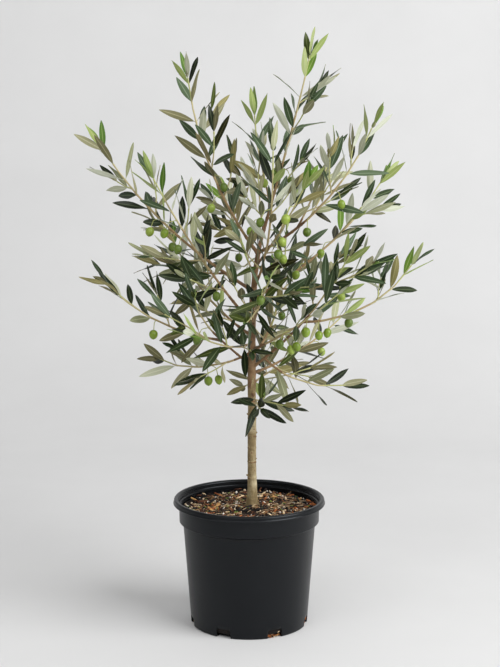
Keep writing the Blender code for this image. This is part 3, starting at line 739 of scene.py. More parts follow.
def olive_skin(name, dark, light):
    """Green fruit with a faint bloom and pale flecks."""
    n = Nodes(name)
    cloud = n.noise(120.0, 3.0)
    flecks = n.noise(1500.0, 1.0)
    colour = n.over(n.ramp(cloud, (0.32, dark), (0.70, light)), flecks, 0.68, 0.76, 0.40, (170, 184, 100))
    return n.finish(colour, n.span(cloud, 0.3, 0.7, 0.30, 0.42), n.bump(flecks, 0.12, 0.0002))


# ---------------------------------------------------------------- meshes from many small forms


def put(name, data):
    """A new object of some data, in the scene."""
    thing = bpy.data.objects.new(name, data)
    bpy.context.scene.collection.objects.link(thing)
    return thing


class Heap:
    """Vertices, faces and face slots of many small forms that become one mesh."""

    def __init__(self):
        self.points = []
        self.faces = {3: [], 4: []}
        self.slots = {3: [], 4: []}
        self.count = 0

    def add(self, points, *groups):
        """Add a form: its points, and (faces, slots) groups of triangles or of quads."""
        points = np.asarray(points, float)
        self.points.append(points)
        for faces, slots in groups:
            faces = np.asarray(faces, int)
            sides = faces.shape[1]
            self.faces[sides].append(faces + self.count)
            self.slots[sides].append(np.broadcast_to(np.asarray(slots, int), (len(faces),)))
        self.count += len(points)

    def build(self, name, materials, smooth=True, crease=None):
        mesh = bpy.data.meshes.new(name)
        points = np.concatenate(self.points)
        mesh.vertices.add(len(points))
        mesh.vertices.foreach_set("co", points.astype(np.float32).ravel())
        loops, starts, slots, start = [], [], [], 0
        for sides in (3, 4):
            if self.faces[sides]:
                faces = np.concatenate(self.faces[sides])
                loops.append(faces.ravel())
                starts.append(start + sides * np.arange(len(faces)))
                slots += self.slots[sides]
                start += faces.size
        loops, starts, slots = (np.concatenate(rows).astype(np.int32) for rows in (loops, starts, slots))
        mesh.loops.add(len(loops))
        mesh.loops.foreach_set("vertex_index", loops)
        mesh.polygons.add(len(starts))
        mesh.polygons.foreach_set("loop_start", starts)
        mesh.polygons.foreach_set("material_index", slots)
        mesh.update(calc_edges=True)
        mesh.validate()
        for material in materials:
            mesh.materials.append(material)
        if smooth:
            mesh.shade_smooth()
        if crease:
            mesh.set_sharp_from_angle(angle=math.radians(crease))
        return put(name, mesh)


def circle(sides):
    """Turns round a circle with their cosines and sines."""
    turns = math.tau * np.arange(sides) / sides
    return turns, np.cos(turns), np.sin(turns)


def turned(outline, sides):
    """Points of an outline of (radius, height) turned about Z, one row of them for each of its points."""
    _, across, up = circle(sides)
    radii, heights = np.array(outline).T[:, :, None]
    return np.stack(np.broadcast_arrays(radii * across, radii * up, heights), -1)


def round_quads(rows, sides, closed=False):
    """Quads between rows of points that each run once round; closed joins the last row to the first."""
    here = np.arange(rows if closed else rows - 1)[:, None] * sides
    above = (here + sides) % (rows * sides)
    across = np.arange(sides)
    after = (across + 1) % sides
    return np.stack((here + across, here + after, above + after, above + across), -1).reshape(-1, 4)


def fan(middle, ring):
    """Triangles from one point to the points of a ring."""
    return np.stack((np.full(len(ring), middle), ring, np.roll(ring, -1)), -1)


def add_tube(heap, body, ends, rows, sides, slots):
    """A round form of rows of points, closed at both ends by a fan; slots are one, or one for each quad."""
    slots = np.broadcast_to(slots, (rows - 1, sides))
    first, ring, top = rows * sides, np.arange(sides), (rows - 1) * sides
    heap.add(np.concatenate((body.reshape(-1, 3), ends)), (round_quads(rows, sides), slots.ravel()),
             (fan(first, ring)[:, [0, 2, 1]], slots[0]), (fan(first + 1, top + ring), slots[-1]))


def unit(rows):
    return rows / np.linalg.norm(rows, axis=-1, keepdims=True)


def frames(path):
    """Directions of a path at its points, and two vectors square to each that don't twist."""
    ahead = unit(np.gradient(path, axis=0))
    side = np.zeros_like(path)
    hint = np.array((0.0, -1.0, 0.0)) if abs(ahead[0][1]) < 0.9 else np.array((1.0, 0.0, 0.0))
    for i, axis in enumerate(ahead):
        hint = unit(hint - axis * (hint @ axis))
        side[i] = hint
    return ahead, side, np.cross(ahead, side)


def sweep(heap, path, radii, sides, slots, relief=0.0):
    """A closed round form along a path; relief adds to the radius at (station, turn)."""
    path = np.asarray(path, float)
    ahead, side, other = frames(path)
    _, across, up = circle(sides)
    reach = np.repeat(radii[:, None], sides, axis=1) + relief
    ring = side[:, None] * across[None, :, None] + other[:, None] * up[None, :, None]
    ends = np.array((path[0] - ahead[0] * radii[0] * 0.4, path[-1] + ahead[-1] * radii[-1] * 0.7))
    add_tube(heap, path[:, None] + ring * reach[:, :, None], ends, len(path), sides, slots)


def smoothed(rows, times):
    """Rows evened out between their two ends."""
    for _ in range(times):
        rows[1:-1] = (rows[:-2] + 2 * rows[1:-1] + rows[2:]) / 4
    return rows


def spaced(knots, step):
    """Points of a line of knots at an even step, rounded through the knots."""
    length = line_length(knots)
    count = max(3, round(length / step))
    return smoothed(np.array([along(knots, length * i / count)[0] for i in range(count + 1)]), 3)


def ripple(stations, turns, seed, waves):
    """Smooth random relief; waves are (height, least and most waves a metre along, most waves round)."""
    dice = np.random.RandomState(seed)
    relief = np.zeros((len(stations), len(turns)))
    for height, near, far, most in waves:
        for _ in range(6):
            pitch = dice.uniform(near, far) * math.tau
            count = dice.randint(0, most + 1)
            phase = dice.uniform(0, math.tau, 2)
            swing = np.cos(stations[:, None] * pitch + phase[0] + np.sin(turns[None] + phase[1]) * 0.6)
            relief += height / 6 * swing * np.cos(turns[None] * count + phase[1])
    return relief


# ---------------------------------------------------------------- trunk and boughs

TRUNK_SIDES = 56
TRUNK_STEP = 0.0008         # from one row of its mesh to the next
BOUGH_SIDES = 20
BOUGH_MESH_STEP = 0.0012
BARK_BELOW = 0.004          # how far the bark runs down into the chips
TRUNK_SWELL = 0.0002        # thickness of the bark over the CAD's trunk
TRUNK_PORES = 150
FLUTES = 4                  # round the trunk's foot
FLUTE_RISE = 0.0010
FLUTE_REACH = 0.009         # height over which they die out
STUB_RADII = (0.0026, 0.0012)
SHADED_BROWN_ABOVE = 0.382         # height where the trunk takes on the boughs' browner bark, partly painted shade of the crown
SCAR_ROUND = 0.0065         # metres along the bark for each radian round the trunk, for scars
PORE_ROUND = 0.0060         # and for pores
BOUGH_RINGS = 0.019         # from one ring of a bough to the next
RING_RISE = 0.00042
RING_HALF = 0.0014          # half width of a ring
BRANCH_SWELL = 0.40         # how much thicker a bough is at its foot, as a share
BRANCH_REACH = 0.0045       # distance over which that dies out
PARENT_RADIUS = 0.0022      # of a bough that carries another
# rings left by lost side shoots: height, rise of the bark, half width, heading and half angle of the scar
TRUNK_RINGS = (
    (0.2357, 0.0003, 0.0020, 212, 34),
    (0.2608, 0.0006, 0.0013, 300, 62),
    (0.2840, 0.0003, 0.0016, 196, 40),
    (0.3020, 0.0007, 0.0014, 334, 48),
    (0.3310, 0.0005, 0.0018, 190, 44),
    (0.3600, 0.0004, 0.0016, 276, 50),
)
# short dead stubs: height, heading, length
TRUNK_STUBS = ((0.2340, 205, 0.0045), (0.2615, 332, 0.0030), (0.3025, 10, 0.0032), (0.3330, 190, 0.0030))
# scars of lost leaves and twigs: height, heading, size
TRUNK_SCARS = ((0.2760, 262, 0.0022), (0.3140, 296, 0.0020), (0.3470, 248, 0.0020), (0.3700, 300, 0.0022),
               (0.2480, 300, 0.0016))


def trunk_values(heights):
    """The trunk's sideways place and radius at some heights."""
    knots = np.array(TRUNK_KNOTS)
    return np.interp(heights, knots[:, 0], knots[:, 1]), np.interp(heights, knots[:, 0], knots[:, 2])


def from_heading(turns, heading):
    """Turns round the trunk's mesh counted from a heading, between -pi and pi."""
    return np.angle(np.exp(1j * (turns - heading)))


def ring_height(turns, height):
    """The wandering height of a ring round the trunk."""
    return height + 0.0007 * np.sin(turns + height * 900) + 0.0004 * np.sin(3 * turns + height * 500)


def mark_rings(relief, slots, up, turns):
    """Rings of lost side shoots, each with a corky scar on one side."""
    for height, rise, half, heading, reach in TRUNK_RINGS:
        above = up - ring_height(turns, height)
        relief += rise * np.exp(-(above / half) ** 2)
        relief -= 0.5 * rise * np.exp(-((above - 1.6 * half) / (0.6 * half)) ** 2)
        away = from_heading(turns, math.radians(heading + 90)) / math.radians(reach)
        part = 0.0011 * np.sqrt(np.clip(1.0 - away ** 2, 0.0, 1.0))
        slots[np.abs(above + 0.4 * half) < part] = 2


def mark_scars(relief, slots, up, turns):
    """Round corky scars of lost leaves and twigs."""
    for height, heading, size in TRUNK_SCARS:
        away = from_heading(turns, math.radians(heading + 90)) * SCAR_ROUND
        near = ((up - height) ** 2 + away ** 2) / size ** 2
        relief += 0.0007 * np.exp(-near) - 0.0006 * np.exp(-near * 6)
        slots[near < 0.55 ** 2] = 2


def mark_pores(relief, up, turns):
    """Fine raised pores, longer round the trunk than along it."""
    dice = random.Random(77)
    for _ in range(TRUNK_PORES):
        height = dice.uniform(0.2, 0.58)
        away = from_heading(turns, dice.uniform(0, math.tau)) * PORE_ROUND
        near = ((up - height) / 0.0005) ** 2 + (away / dice.uniform(0.0006, 0.0016)) ** 2
        relief += 0.00022 * np.exp(-near)


def add_stubs(heap):
    """Short dead stubs on the trunk."""
    for height, heading, length in TRUNK_STUBS:
        far = trunk_values(height)[1] + length
        stations = np.linspace(0.0, far, 10)[:, None]
        path = np.array(trunk_point(height)) + np.array(direction(heading, 35)) * stations
        sweep(heap, path, np.linspace(*STUB_RADII, 10), 12, 0)


def add_trunk(heap):
    """The trunk with its rings, scars and pores, and flutes at its foot."""
    heights = np.arange(SOIL_TOP - BARK_BELOW, TRUNK_KNOTS[-1][0], TRUNK_STEP)
    across, radii = (smoothed(row, 12) for row in trunk_values(heights))
    path = np.stack((across, np.zeros_like(across), heights), -1)
    turns = circle(TRUNK_SIDES)[0]
    up = heights[:, None]
    relief = ripple(heights, turns, 5, ((0.0004, 6, 16, 2), (0.00022, 30, 90, 4), (0.00016, 5, 25, 14)))
    # inside the crown the trunk takes the boughs' browner bark: partly its own colour, partly painted shade
    # of the crown
    shaded_browning = SHADED_BROWN_ABOVE + 0.012 * np.sin(turns * 2 + 1.0) + 0.007 * np.sin(turns * 5)
    slots = (up > shaded_browning).astype(int)
    mark_rings(relief, slots, up, turns)
    mark_scars(relief, slots, up, turns)
    mark_pores(relief, up, turns)
    foot = np.exp(-((heights - SOIL_TOP) / FLUTE_REACH))[:, None]
    relief += foot * (FLUTE_RISE + FLUTE_RISE * np.cos(turns * FLUTES + 0.7))
    relief += ripple(heights, turns, 9, ((0.00012, 140, 420, 1),))
    sweep(heap, path, radii + TRUNK_SWELL, TRUNK_SIDES, slots[:-1], relief)


def bough_skin(limb, heap, seed):
    """A bough with a swollen foot, bark relief and a ring at each old pair of leaves."""
    line = LINES[limb.name]
    knots = [line[0]] + stretch(line, 0.004, limb.bare, 0.004)
    length = line_length(knots)
    path = spaced(knots, BOUGH_MESH_STEP)
    stations = np.linspace(0.0, length, len(path))
    radii = np.array([limb_radius(limb.length, s) for s in stations])
    parent = trunk_values(limb.at)[1] if limb.parent == "trunk" else PARENT_RADIUS
    radii *= 1 + BRANCH_SWELL * np.exp(-np.maximum(0.0, stations - parent) / BRANCH_REACH)
    turns = circle(BOUGH_SIDES)[0]
    relief = ripple(stations, turns, seed, ((0.00018, 15, 40, 2), (0.00012, 60, 160, 4)))
    for spot in np.arange(0.012, length - 0.003, BOUGH_RINGS):
        above = stations[:, None] - spot - 0.0004 * np.cos(turns * 2)
        relief += RING_RISE * np.exp(-(above / RING_HALF) ** 2)
    sweep(heap, path, radii, BOUGH_SIDES, 1, relief)


def make_bark():
    heap = Heap()
    add_trunk(heap)
    add_stubs(heap)
    for i, limb in enumerate(LIMBS):
        bough_skin(limb, heap, 40 + i)
    return heap.build("bark", [bark(), bough_bark(), bark_scar()])


# ---------------------------------------------------------------- leafy stems and twigs

STEM_TINTS = ((150, 122, 84), (170, 150, 108), (186, 174, 128), (176, 178, 116))
STEM_BANDS = (0.035, 0.09, 0.17)    # distances from a twig's tip where its tint changes
TWIG_SHRINK = 0.92          # radius of a twig as a share of the CAD's
NODE_RISE = 0.00035         # swelling of a twig at each pair of leaves
NODE_HALF = 0.0016


def twig_skin(heap, twig, sides):
    """A twig, swollen at each pair of leaves and paler towards its tip."""
    length = line_length(twig.knots)
    path = spaced(twig.knots, 0.0025)
    where = np.linspace(0.0, length, len(path))
    marks = np.cumsum([0.0] + [(b - a).length for a, b in zip(twig.knots, twig.knots[1:])])
    radii = np.interp(where, marks, twig.radii) * TWIG_SHRINK
    for spot in leaf_spots(length):
        radii += NODE_RISE * np.exp(-((where - spot) / NODE_HALF) ** 2)
    slots = 3 - np.digitize(length - where, STEM_BANDS)
    sweep(heap, path, radii, sides, slots[:-1, None])


def make_twigs(sprays):
    heap = Heap()
    for spray in sprays:
        for i, twig in enumerate(spray.twigs):
            twig_skin(heap, twig, 8 if i else 10)
        for shoot in spray.shoots:
            path = spaced(shoot.knots, 0.003)
            sweep(heap, path, np.linspace(shoot.radii[0], shoot.radii[-1], len(path)), 6, 3)
    return heap.build("twigs", [plain("stem_tint_%d" % i, tint, 0.62) for i, tint in enumerate(STEM_TINTS)])


# ---------------------------------------------------------------- leaves

# stations along a blade as (share of the length, half width as a share)
BLADE = ((0.0, 0.085), (0.045, 0.075), (0.075, 0.12), (0.13, 0.36), (0.21, 0.62), (0.32, 0.86), (0.45, 1.0),
         (0.58, 0.98), (0.70, 0.87), (0.81, 0.67), (0.90, 0.43), (0.965, 0.19), (1.0, 0.02))
COLUMNS = (-1.0, -0.62, -0.11, 0.11, 0.62, 1.0)     # places across a blade, as shares of its half width
PETIOLE_ROWS = 2
FOLD = 0.19                 # rise of a blade's edge for each metre from its midrib
BLADE_ROLL = 1.0            # most turn of a blade about its midrib from root to tip, in radians
BLADE_THICKNESS = 0.00034
PETIOLE_THICKNESS = 0.0011
LEAF_PIECES = 4
# the four parts of a leaf: name, roughness, shine
LEAF_PARTS = (("face", 0.42, 0.22), ("midrib", 0.5), ("underside", 0.78), ("underside_midrib", 0.6))
# display colours of those parts, dealt out leaf by leaf
LEAF_TINTS = (
    ((30, 42, 14), (68, 82, 44), (150, 148, 112), (184, 182, 148)),
    ((18, 28, 7), (52, 64, 31), (106, 103, 69), (146, 141, 102)),
    ((46, 61, 32), (92, 107, 71), (188, 191, 164), (208, 210, 186)),
    ((62, 79, 52), (108, 124, 94), (202, 206, 184), (216, 219, 200)),
    ((88, 105, 78), (124, 140, 112), (166, 169, 132), (190, 192, 160)),
    ((56, 68, 16), (100, 111, 50), (142, 135, 84), (172, 164, 112)),
    ((74, 108, 32), (120, 142, 70), (140, 155, 84), (164, 174, 112)),
    ((104, 138, 50), (150, 170, 94), (154, 172, 98), (176, 188, 122)),
    ((118, 144, 70), (152, 168, 106), (158, 170, 112), (176, 184, 136)),
    ((40, 40, 12), (78, 76, 40), (124, 116, 78), (154, 146, 106)),
    ((34, 50, 24), (74, 94, 56), (136, 140, 104), (170, 174, 138)),
)
# how often each tint is dealt where the crown is pale with painted light and where it is dark with painted
# shade
LIGHT_SHARES = (15, 5, 22, 30, 17, 6, 1, 1, 0, 2, 5)
DARK_SHARES = (22, 40, 6, 2, 4, 10, 2, 1, 0, 9, 18)
DARK_SHARE = 0.42           # the dark tints' share at the crown's edge
DARK_WITHIN = 0.44          # what is added to it at the trunk's line
DARK_REACH = 0.08           # distance from that line within which painted shade darkens the crown
DARK_BELOW = 0.475          # height below which painted shade darkens it, fully so DARK_FADE lower
DARK_FADE = 0.08
PALE_RIGHT = 3.2            # what is taken off it for each metre towards +X, as painted light on the side the key lights
PALE_ABOVE = 0.62           # height above which it turns paler with painted light
PALE_HIGH = 1.5             # and what is taken off it for each metre there
YOUNG_AND_LIT_THROUGH = (6, 7, 8)           # the tints of fresh leaves, whose bright yellow-green is partly painted light shining through them
FRESH_TIPS = 0.92           # share of the sprays with fresh leaves at the tip
TIP_REACH = 0.036           # how far from the tip they stand
FRESH_SHARE = 0.56          # share of the leaves there that are fresh
FRESH_SMALL = 0.30          # share of the small leaves that are fresh


def leaf_faces(rows, columns):
    """Faces of a leaf's two sides and its rim, with the part of the leaf that each shows."""
    down = rows * columns
    corner = np.arange(rows - 1)[:, None] * columns + np.arange(columns - 1)
    upper = np.stack((corner, corner + columns, corner + columns + 1, corner + 1), -1).reshape(-1, 4)
    edge = np.arange(rows - 1) * columns
    left = np.stack((edge, edge + down, edge + columns + down, edge + columns), -1)
    step = np.arange(columns - 1)
    root = np.stack((step, step + 1, step + 1 + down, step + down), -1)
    rim = np.concatenate((left, left[:, ::-1] + columns - 1, root, root[:, ::-1] + down - columns))
    rib = np.tile(np.abs(step - (columns - 2) / 2) < 0.6, rows - 1)
    petiole = np.repeat(np.arange(rows - 1) < PETIOLE_ROWS, columns - 1)
    return ((upper, np.where(petiole, 3, np.where(rib, 1, 0))),
            (upper[:, ::-1] + down, np.where(petiole | rib, 3, 2)), (rim, np.full(len(rim), 3)))


LEAF_FACES = leaf_faces(len(BLADE), len(COLUMNS))


def leaf_skin(heap, leaf, tint, dice):
    """A thin lance-shaped blade with a midrib, a little folded and drooping, on its petiole."""
    u, half = np.array(BLADE).T
    half = (half * leaf.width / 2)[:, None]
    v = np.array(COLUMNS)
    off = np.abs(v)
    ahead, face = np.array(leaf.along), np.array(leaf.face)
    side = np.cross(ahead, face)
    bend = dice.uniform(-0.035, 0.035)
    wave = dice.uniform(0.0, math.tau)
    roll = (dice.uniform(-BLADE_ROLL, BLADE_ROLL) * np.clip(u - 0.10, 0, 1))[:, None]
    fold = FOLD * dice.uniform(0.5, 1.5)
    u = u[:, None]
    spine = np.array(leaf.root) + leaf.length * (u * ahead - leaf.droop * u ** 2 * face + bend * u * u * side)
    side, face = side * np.cos(roll) + face * np.sin(roll), face * np.cos(roll) - side * np.sin(roll)
    blade = np.clip((u - 0.06) / 0.12, 0, 1)
    rise = (fold * off - 0.10 * off ** 4) * half * blade + 0.0005 * np.sin(wave + u * 9.0) * blade * v
    thick = PETIOLE_THICKNESS + (BLADE_THICKNESS - PETIOLE_THICKNESS) * np.clip(u / 0.10, 0, 1)
    swell = thick * np.where(off < 0.2, 0.75, np.where(off < 0.9, 0.42, 0.10))
    groove = 0.00022 * (off < 0.2) * blade
    flat = spine[:, None] + side[:, None] * (half * v)[..., None]
    top = flat + face[:, None] * (rise + swell - groove)[..., None]
    under = flat + face[:, None] * (rise - swell - 1.2 * groove)[..., None]
    first = tint * len(LEAF_PARTS)
    heap.add(np.concatenate((top.reshape(-1, 3), under.reshape(-1, 3))),
             *((faces, first + parts) for faces, parts in LEAF_FACES))


def painted_shade_share(spot):
    """Painted shade and light: how much of the dark tints a place takes, most low down and within the crown,
    least high up and towards +X, where the key lights it.
    """
    within = math.exp(-(spot.x ** 2 + spot.y ** 2) / DARK_REACH ** 2)
    low = min(1.0, max(0.0, (DARK_BELOW - spot.z) / DARK_FADE))
    share = DARK_SHARE + DARK_WITHIN * within + low
    share -= PALE_RIGHT * max(0.0, spot.x)
    share -= PALE_HIGH * max(0.0, spot.z - PALE_ABOVE)
    return min(1.0, max(0.0, share))


def leaf_tint(dice, young, spot):
    """Fresh leaves are bright, partly with painted light shining through them; the others take the tree's
    tints.
    """
    if young:
        return dice.choice(YOUNG_AND_LIT_THROUGH)
    # painted shade: darker tints inside and low in the crown, paler ones high up and towards the lit +X side
    dark = painted_shade_share(spot)
    shares = [a + (b - a) * dark for a, b in zip(LIGHT_SHARES, DARK_SHARES)]
    return dice.choices(range(len(LEAF_TINTS)), shares)[0]


def make_leaves(sprays):
    dice = random.Random(SEED + 7)
    materials = [plain("leaf_%d_%s" % (i, part), colour, *finish)
                 for i, colours in enumerate(LEAF_TINTS)
                 for colour, (part, *finish) in zip(colours, LEAF_PARTS)]
    groups = [Heap() for _ in range(LEAF_PIECES)]
    for i, spray in enumerate(sprays):
        heap = groups[i % LEAF_PIECES]
        fresh = dice.random() < FRESH_TIPS
        tip = spray.twigs[0].knots[-1]
        for leaf in spray.leaves:
            young = fresh and (leaf.root - tip).length < TIP_REACH and dice.random() < FRESH_SHARE
            leaf_skin(heap, leaf, leaf_tint(dice, young, leaf.root), dice)
        for leaf in spray.small:
            leaf_skin(heap, leaf, leaf_tint(dice, dice.random() < FRESH_SMALL, leaf.root), dice)
    return [heap.build("leaves_%d" % i, materials, crease=50) for i, heap in enumerate(groups)]


# ---------------------------------------------------------------- olives

# kinds of fruit: name, dark and light colour
OLIVE_SKINS = (
    ("olive_green", (104, 128, 30), (130, 154, 48)),
    ("olive_deep_green", (76, 98, 22), (100, 124, 36)),
    ("olive_light_green", (134, 156, 56), (156, 176, 78)),
)
OLIVE_SHARES = (5, 4, 2)    # how often each kind is dealt
OLIVE_SIDES, OLIVE_ROWS = 24, 18


def add_olive(heap, olive, slot, dice):
    """An egg-shaped fruit with a shallow dimple at its stalk and a small point."""
    plump = dice.uniform(0.90, 1.06)
    length = OLIVE_LENGTH * dice.uniform(0.94, 1.04)
    axis = np.array(olive.axis)
    angle = np.linspace(0.0, np.pi, OLIVE_ROWS)
    height = -np.cos(angle) * length / 2
    radius = np.sin(angle) ** 0.94 * OLIVE_WIDTH / 2 * plump * (1.0 + 0.07 * np.cos(angle))
    radius[0] = radius[-1] = 0.0003
    height[0] += 0.0009
    height[-1] += 0.0004
    path = np.array(olive.centre) + axis * height[:, None]
    side = unit(np.cross(axis, (0.3, 0.5, 0.8)))
    _, across, up = circle(OLIVE_SIDES)
    ring = side * across[:, None] + np.cross(axis, side) * up[:, None]
    body = path[:, None] + ring * radius[:, None, None]
    add_tube(heap, body, path[[0, -1]], OLIVE_ROWS, OLIVE_SIDES, slot)


def make_olives(sprays):
    dice = random.Random(SEED + 11)
    fruit, stalks = Heap(), Heap()
    for olive in (olive for spray in sprays for olive in spray.olives):
        add_olive(fruit, olive, dice.choices((0, 1, 2), OLIVE_SHARES)[0], dice)
        path = spaced(olive.stalk, 0.0012)
        radii = np.full(len(path), 0.00062)
        radii[-3:] = (0.0008, 0.0012, 0.0013)
        radii[:2] = 0.0009
        sweep(stalks, path, radii, 8, 0)
    stalk = plain("olive_stalk", (164, 168, 96), 0.6)
    skins = [olive_skin(*skin) for skin in OLIVE_SKINS]
    return fruit.build("olives", skins), stalks.build("olive_stalks", [stalk])


# ---------------------------------------------------------------- pot and soil

NOTCH_HEADINGS = [math.radians(DRAIN_FIRST_HEADING + 360 * i / DRAIN_COUNT) for i in range(DRAIN_COUNT)]
SOIL_RADIUS = COLLAR_RADIUS - POT_WALL - CLEARANCE
POT_SIDES = 192
STEP_HEIGHT = 0.0030        # over which the wall widens to the collar
SOIL_SIDES, SOIL_RINGS = 128, 56
# dark and light colour of each kind of bark chip, and how often each lies on the soil and in the notches
CHIP_TINTS = (
    ((6, 4, 3), (22, 14, 9)),
    ((38, 18, 6), (100, 50, 18)),
    ((92, 48, 18), (174, 100, 44)),
    ((132, 92, 48), (218, 170, 104)),
    ((16, 8, 3), (56, 31, 13)),
    ((196, 158, 108), (252, 232, 196)),
    ((118, 60, 26), (194, 112, 54)),
)
CHIP_WEIGHTS = (46, 22, 8, 6, 30, 8, 7)
# the notches take more pale and orange chips: partly their own colour, partly painted light making up for the
# little light that reaches in
NOTCH_WEIGHTS = (16, 8, 16, 20, 6, 16, 18)
CHIP_COUNT, GRAIN_COUNT, TUFT_COUNT, FIBRE_COUNT = 1080, 170, 60, 420
NOTCH_CHIPS = (24, 14, 9, 12, 7, 10, 5)     # chips behind each drain notch, from the front one on
CHIP_LOWEST = 0.0004        # height over the ground that every chip keeps
BIG_CHIPS = 0.16            # share of the chips that are big
BIG_LENGTH = (0.011, 0.021)
CHIP_LENGTH = (0.0040, 0.0105)
SMALL_GRAINS = 0.72         # share of the grains that are small
SMALL_SIZE = (0.0014, 0.0036)
GRAIN_SIZE = (0.0036, 0.0056)
WHITE_GRAINS = 0.7          # share of the grains that are white
FIBRE_LENGTH = (0.007, 0.024)
FIBRE_RADIUS = (0.00022, 0.00055)
PERLITE_TINTS = (("perlite_white", (206, 196, 180), (242, 238, 230)),
                 ("perlite_cream", (176, 150, 118), (220, 202, 174)))
MOSS_TINTS = (("moss_green", (74, 104, 34), (122, 152, 60)), ("moss_yellow", (112, 122, 48), (160, 164, 84)))
FIBRE_TINTS = (("fibre_tan", (134, 100, 66), (180, 148, 108)), ("fibre_dark", (40, 25, 15), (82, 56, 36)),
               ("fibre_red", (100, 60, 34), (152, 100, 62)), ("fibre_pale", (160, 134, 100), (206, 184, 150)))


def arc(radius, height, out, up, first, last, count):
    """Points of (radius, height) along part of an ellipse, between two angles in degrees."""
    angles = np.radians(np.linspace(first, last, count))
    return [(radius + out * math.cos(a), height + up * math.sin(a)) for a in angles]


def moulded_lines(radius, top, crest, bed, drop):
    """Three fine lines one below the other on a wall, their crests and beds a little off its radius."""
    spots = []
    for height in (top, top - drop, top - 2 * drop):
        spots += [(radius + crest, height), (radius + bed, height - 0.0006),
                  (radius + bed, height - drop + 0.0008)]
    return spots


def wall_radius(height):
    return POT_FOOT_RADIUS + POT_TAPER * height


def pot_outline():
    """Closed outline from the middle of the foot, up the outside, over the lip and down the inside."""
    lip_foot = POT_HEIGHT - LIP_HEIGHT
    shoulder = COLLAR_FOOT - STEP_HEIGHT
    below = wall_radius(shoulder)
    outer, inner, hollow = POT_RIM_RADIUS, POT_RIM_RADIUS - 0.0075, COLLAR_RADIUS - POT_WALL
    ease = [(share, share * share * (3 - 2 * share)) for share in np.arange(7) / 6]
    return [
        (0.0002, 0.0), (0.060, 0.0), (POT_FOOT_RADIUS - 0.0024, 0.0),
        *arc(wall_radius(0.0028) - 0.0024, 0.0026, 0.0024, 0.0026, -90, 0, 5),
        *((wall_radius(z), z) for z in np.arange(0.010, shoulder, 0.010)),
        *((below + (COLLAR_RADIUS - below) * out, shoulder + STEP_HEIGHT * share) for share, out in ease),
        *((COLLAR_RADIUS + 0.0006 * share, COLLAR_FOOT + (lip_foot - COLLAR_FOOT - 0.001) * share)
          for share in (0.06, 0.3, 0.6, 0.9, 1.0)),
        (COLLAR_RADIUS + 0.0012, lip_foot + 0.0004),
        *arc(outer - 0.0009, lip_foot + 0.0011, 0.0010, 0.0011, -110, 60, 7),
        (outer - 0.0006, lip_foot + 0.0026), (outer - 0.0009, POT_HEIGHT - 0.0036),
        *arc(outer - 0.0039, POT_HEIGHT - 0.0032, 0.0030, 0.0032, 0, 100, 9),
        (inner + 0.0012, POT_HEIGHT - 0.0003), (inner, POT_HEIGHT - 0.0014),
        *moulded_lines(inner, POT_HEIGHT - 0.0028, -0.0006, 0.0002, 0.0022),
        *moulded_lines(hollow, lip_foot - 0.0016, 0.0008, -0.0001, 0.0024),
        (hollow, 0.180), (hollow, COLLAR_FOOT + 0.001), (below - POT_WALL, shoulder),
        *((wall_radius(z) - POT_WALL, z) for z in (0.12, 0.08, 0.04, 0.008)),
        (wall_radius(0.0030) - POT_WALL - 0.0020, POT_WALL), (0.0002, POT_WALL),
    ]


def notch_cutter():
    """A block with rounded upper corners through the wall at each drain notch."""
    cutter = Heap()
    half, top, rounding = DRAIN_WIDTH / 2, DRAIN_HEIGHT, 0.004
    shape = [(-half, -0.004), (half, -0.004)]
    shape += arc(half - rounding, top - rounding, rounding, rounding, 0, 90, 6)
    shape += arc(rounding - half, top - rounding, rounding, rounding, 90, 180, 6)
    count = len(shape)
    near = np.arange(count)
    after = np.roll(near, -1)
    for heading in NOTCH_HEADINGS:
        out = np.array((math.cos(heading), math.sin(heading), 0.0))
        side = np.array((-out[1], out[0], 0.0))
        ends = [out * (POT_FOOT_RADIUS + depth) for depth in (-DRAIN_DEPTH, DRAIN_DEPTH)]
        points = [end + side * x + np.array((0, 0, z)) for end in ends for x, z in shape]
        points += [end + np.array((0, 0, 0.004)) for end in ends]
        cutter.add(points, (np.stack((near, after, after + count, near + count), -1), 0),
                   (fan(2 * count, near)[:, [0, 2, 1]], 0), (fan(2 * count + 1, near + count), 0))
    return cutter.build("drain_cutter", [], smooth=False)


def make_pot():
    heap = Heap()
    points = turned(pot_outline(), POT_SIDES)
    heap.add(points.reshape(-1, 3), (round_quads(len(points), POT_SIDES, closed=True), 0))
    pot = heap.build("nursery_pot", [black_plastic()], crease=35)
    notches = notch_cutter()
    cut = pot.modifiers.new("drains", "BOOLEAN")
    cut.operation = "DIFFERENCE"
    cut.object = notches
    cut.solver = "EXACT"
    bpy.context.view_layer.update()
    graph = bpy.context.evaluated_depsgraph_get()
    mesh = bpy.data.meshes.new_from_object(pot.evaluated_get(graph))
    pot.modifiers.clear()
    pot.data = mesh
    bpy.data.objects.remove(notches, do_unlink=True)
    return pot


def soil_height(x, y):
    """Uneven top of the compost, a little raised towards the trunk."""
    radius = math.hypot(x, y)
    bumps = 0.0011 * math.sin(61 * x + 2.0) * math.cos(53 * y + 0.5) + 0.0008 * math.sin(131 * x - 97 * y)
    return SOIL_TOP - 0.0030 + bumps + 0.0030 * math.exp(-((radius - 0.006) / 0.022) ** 2)


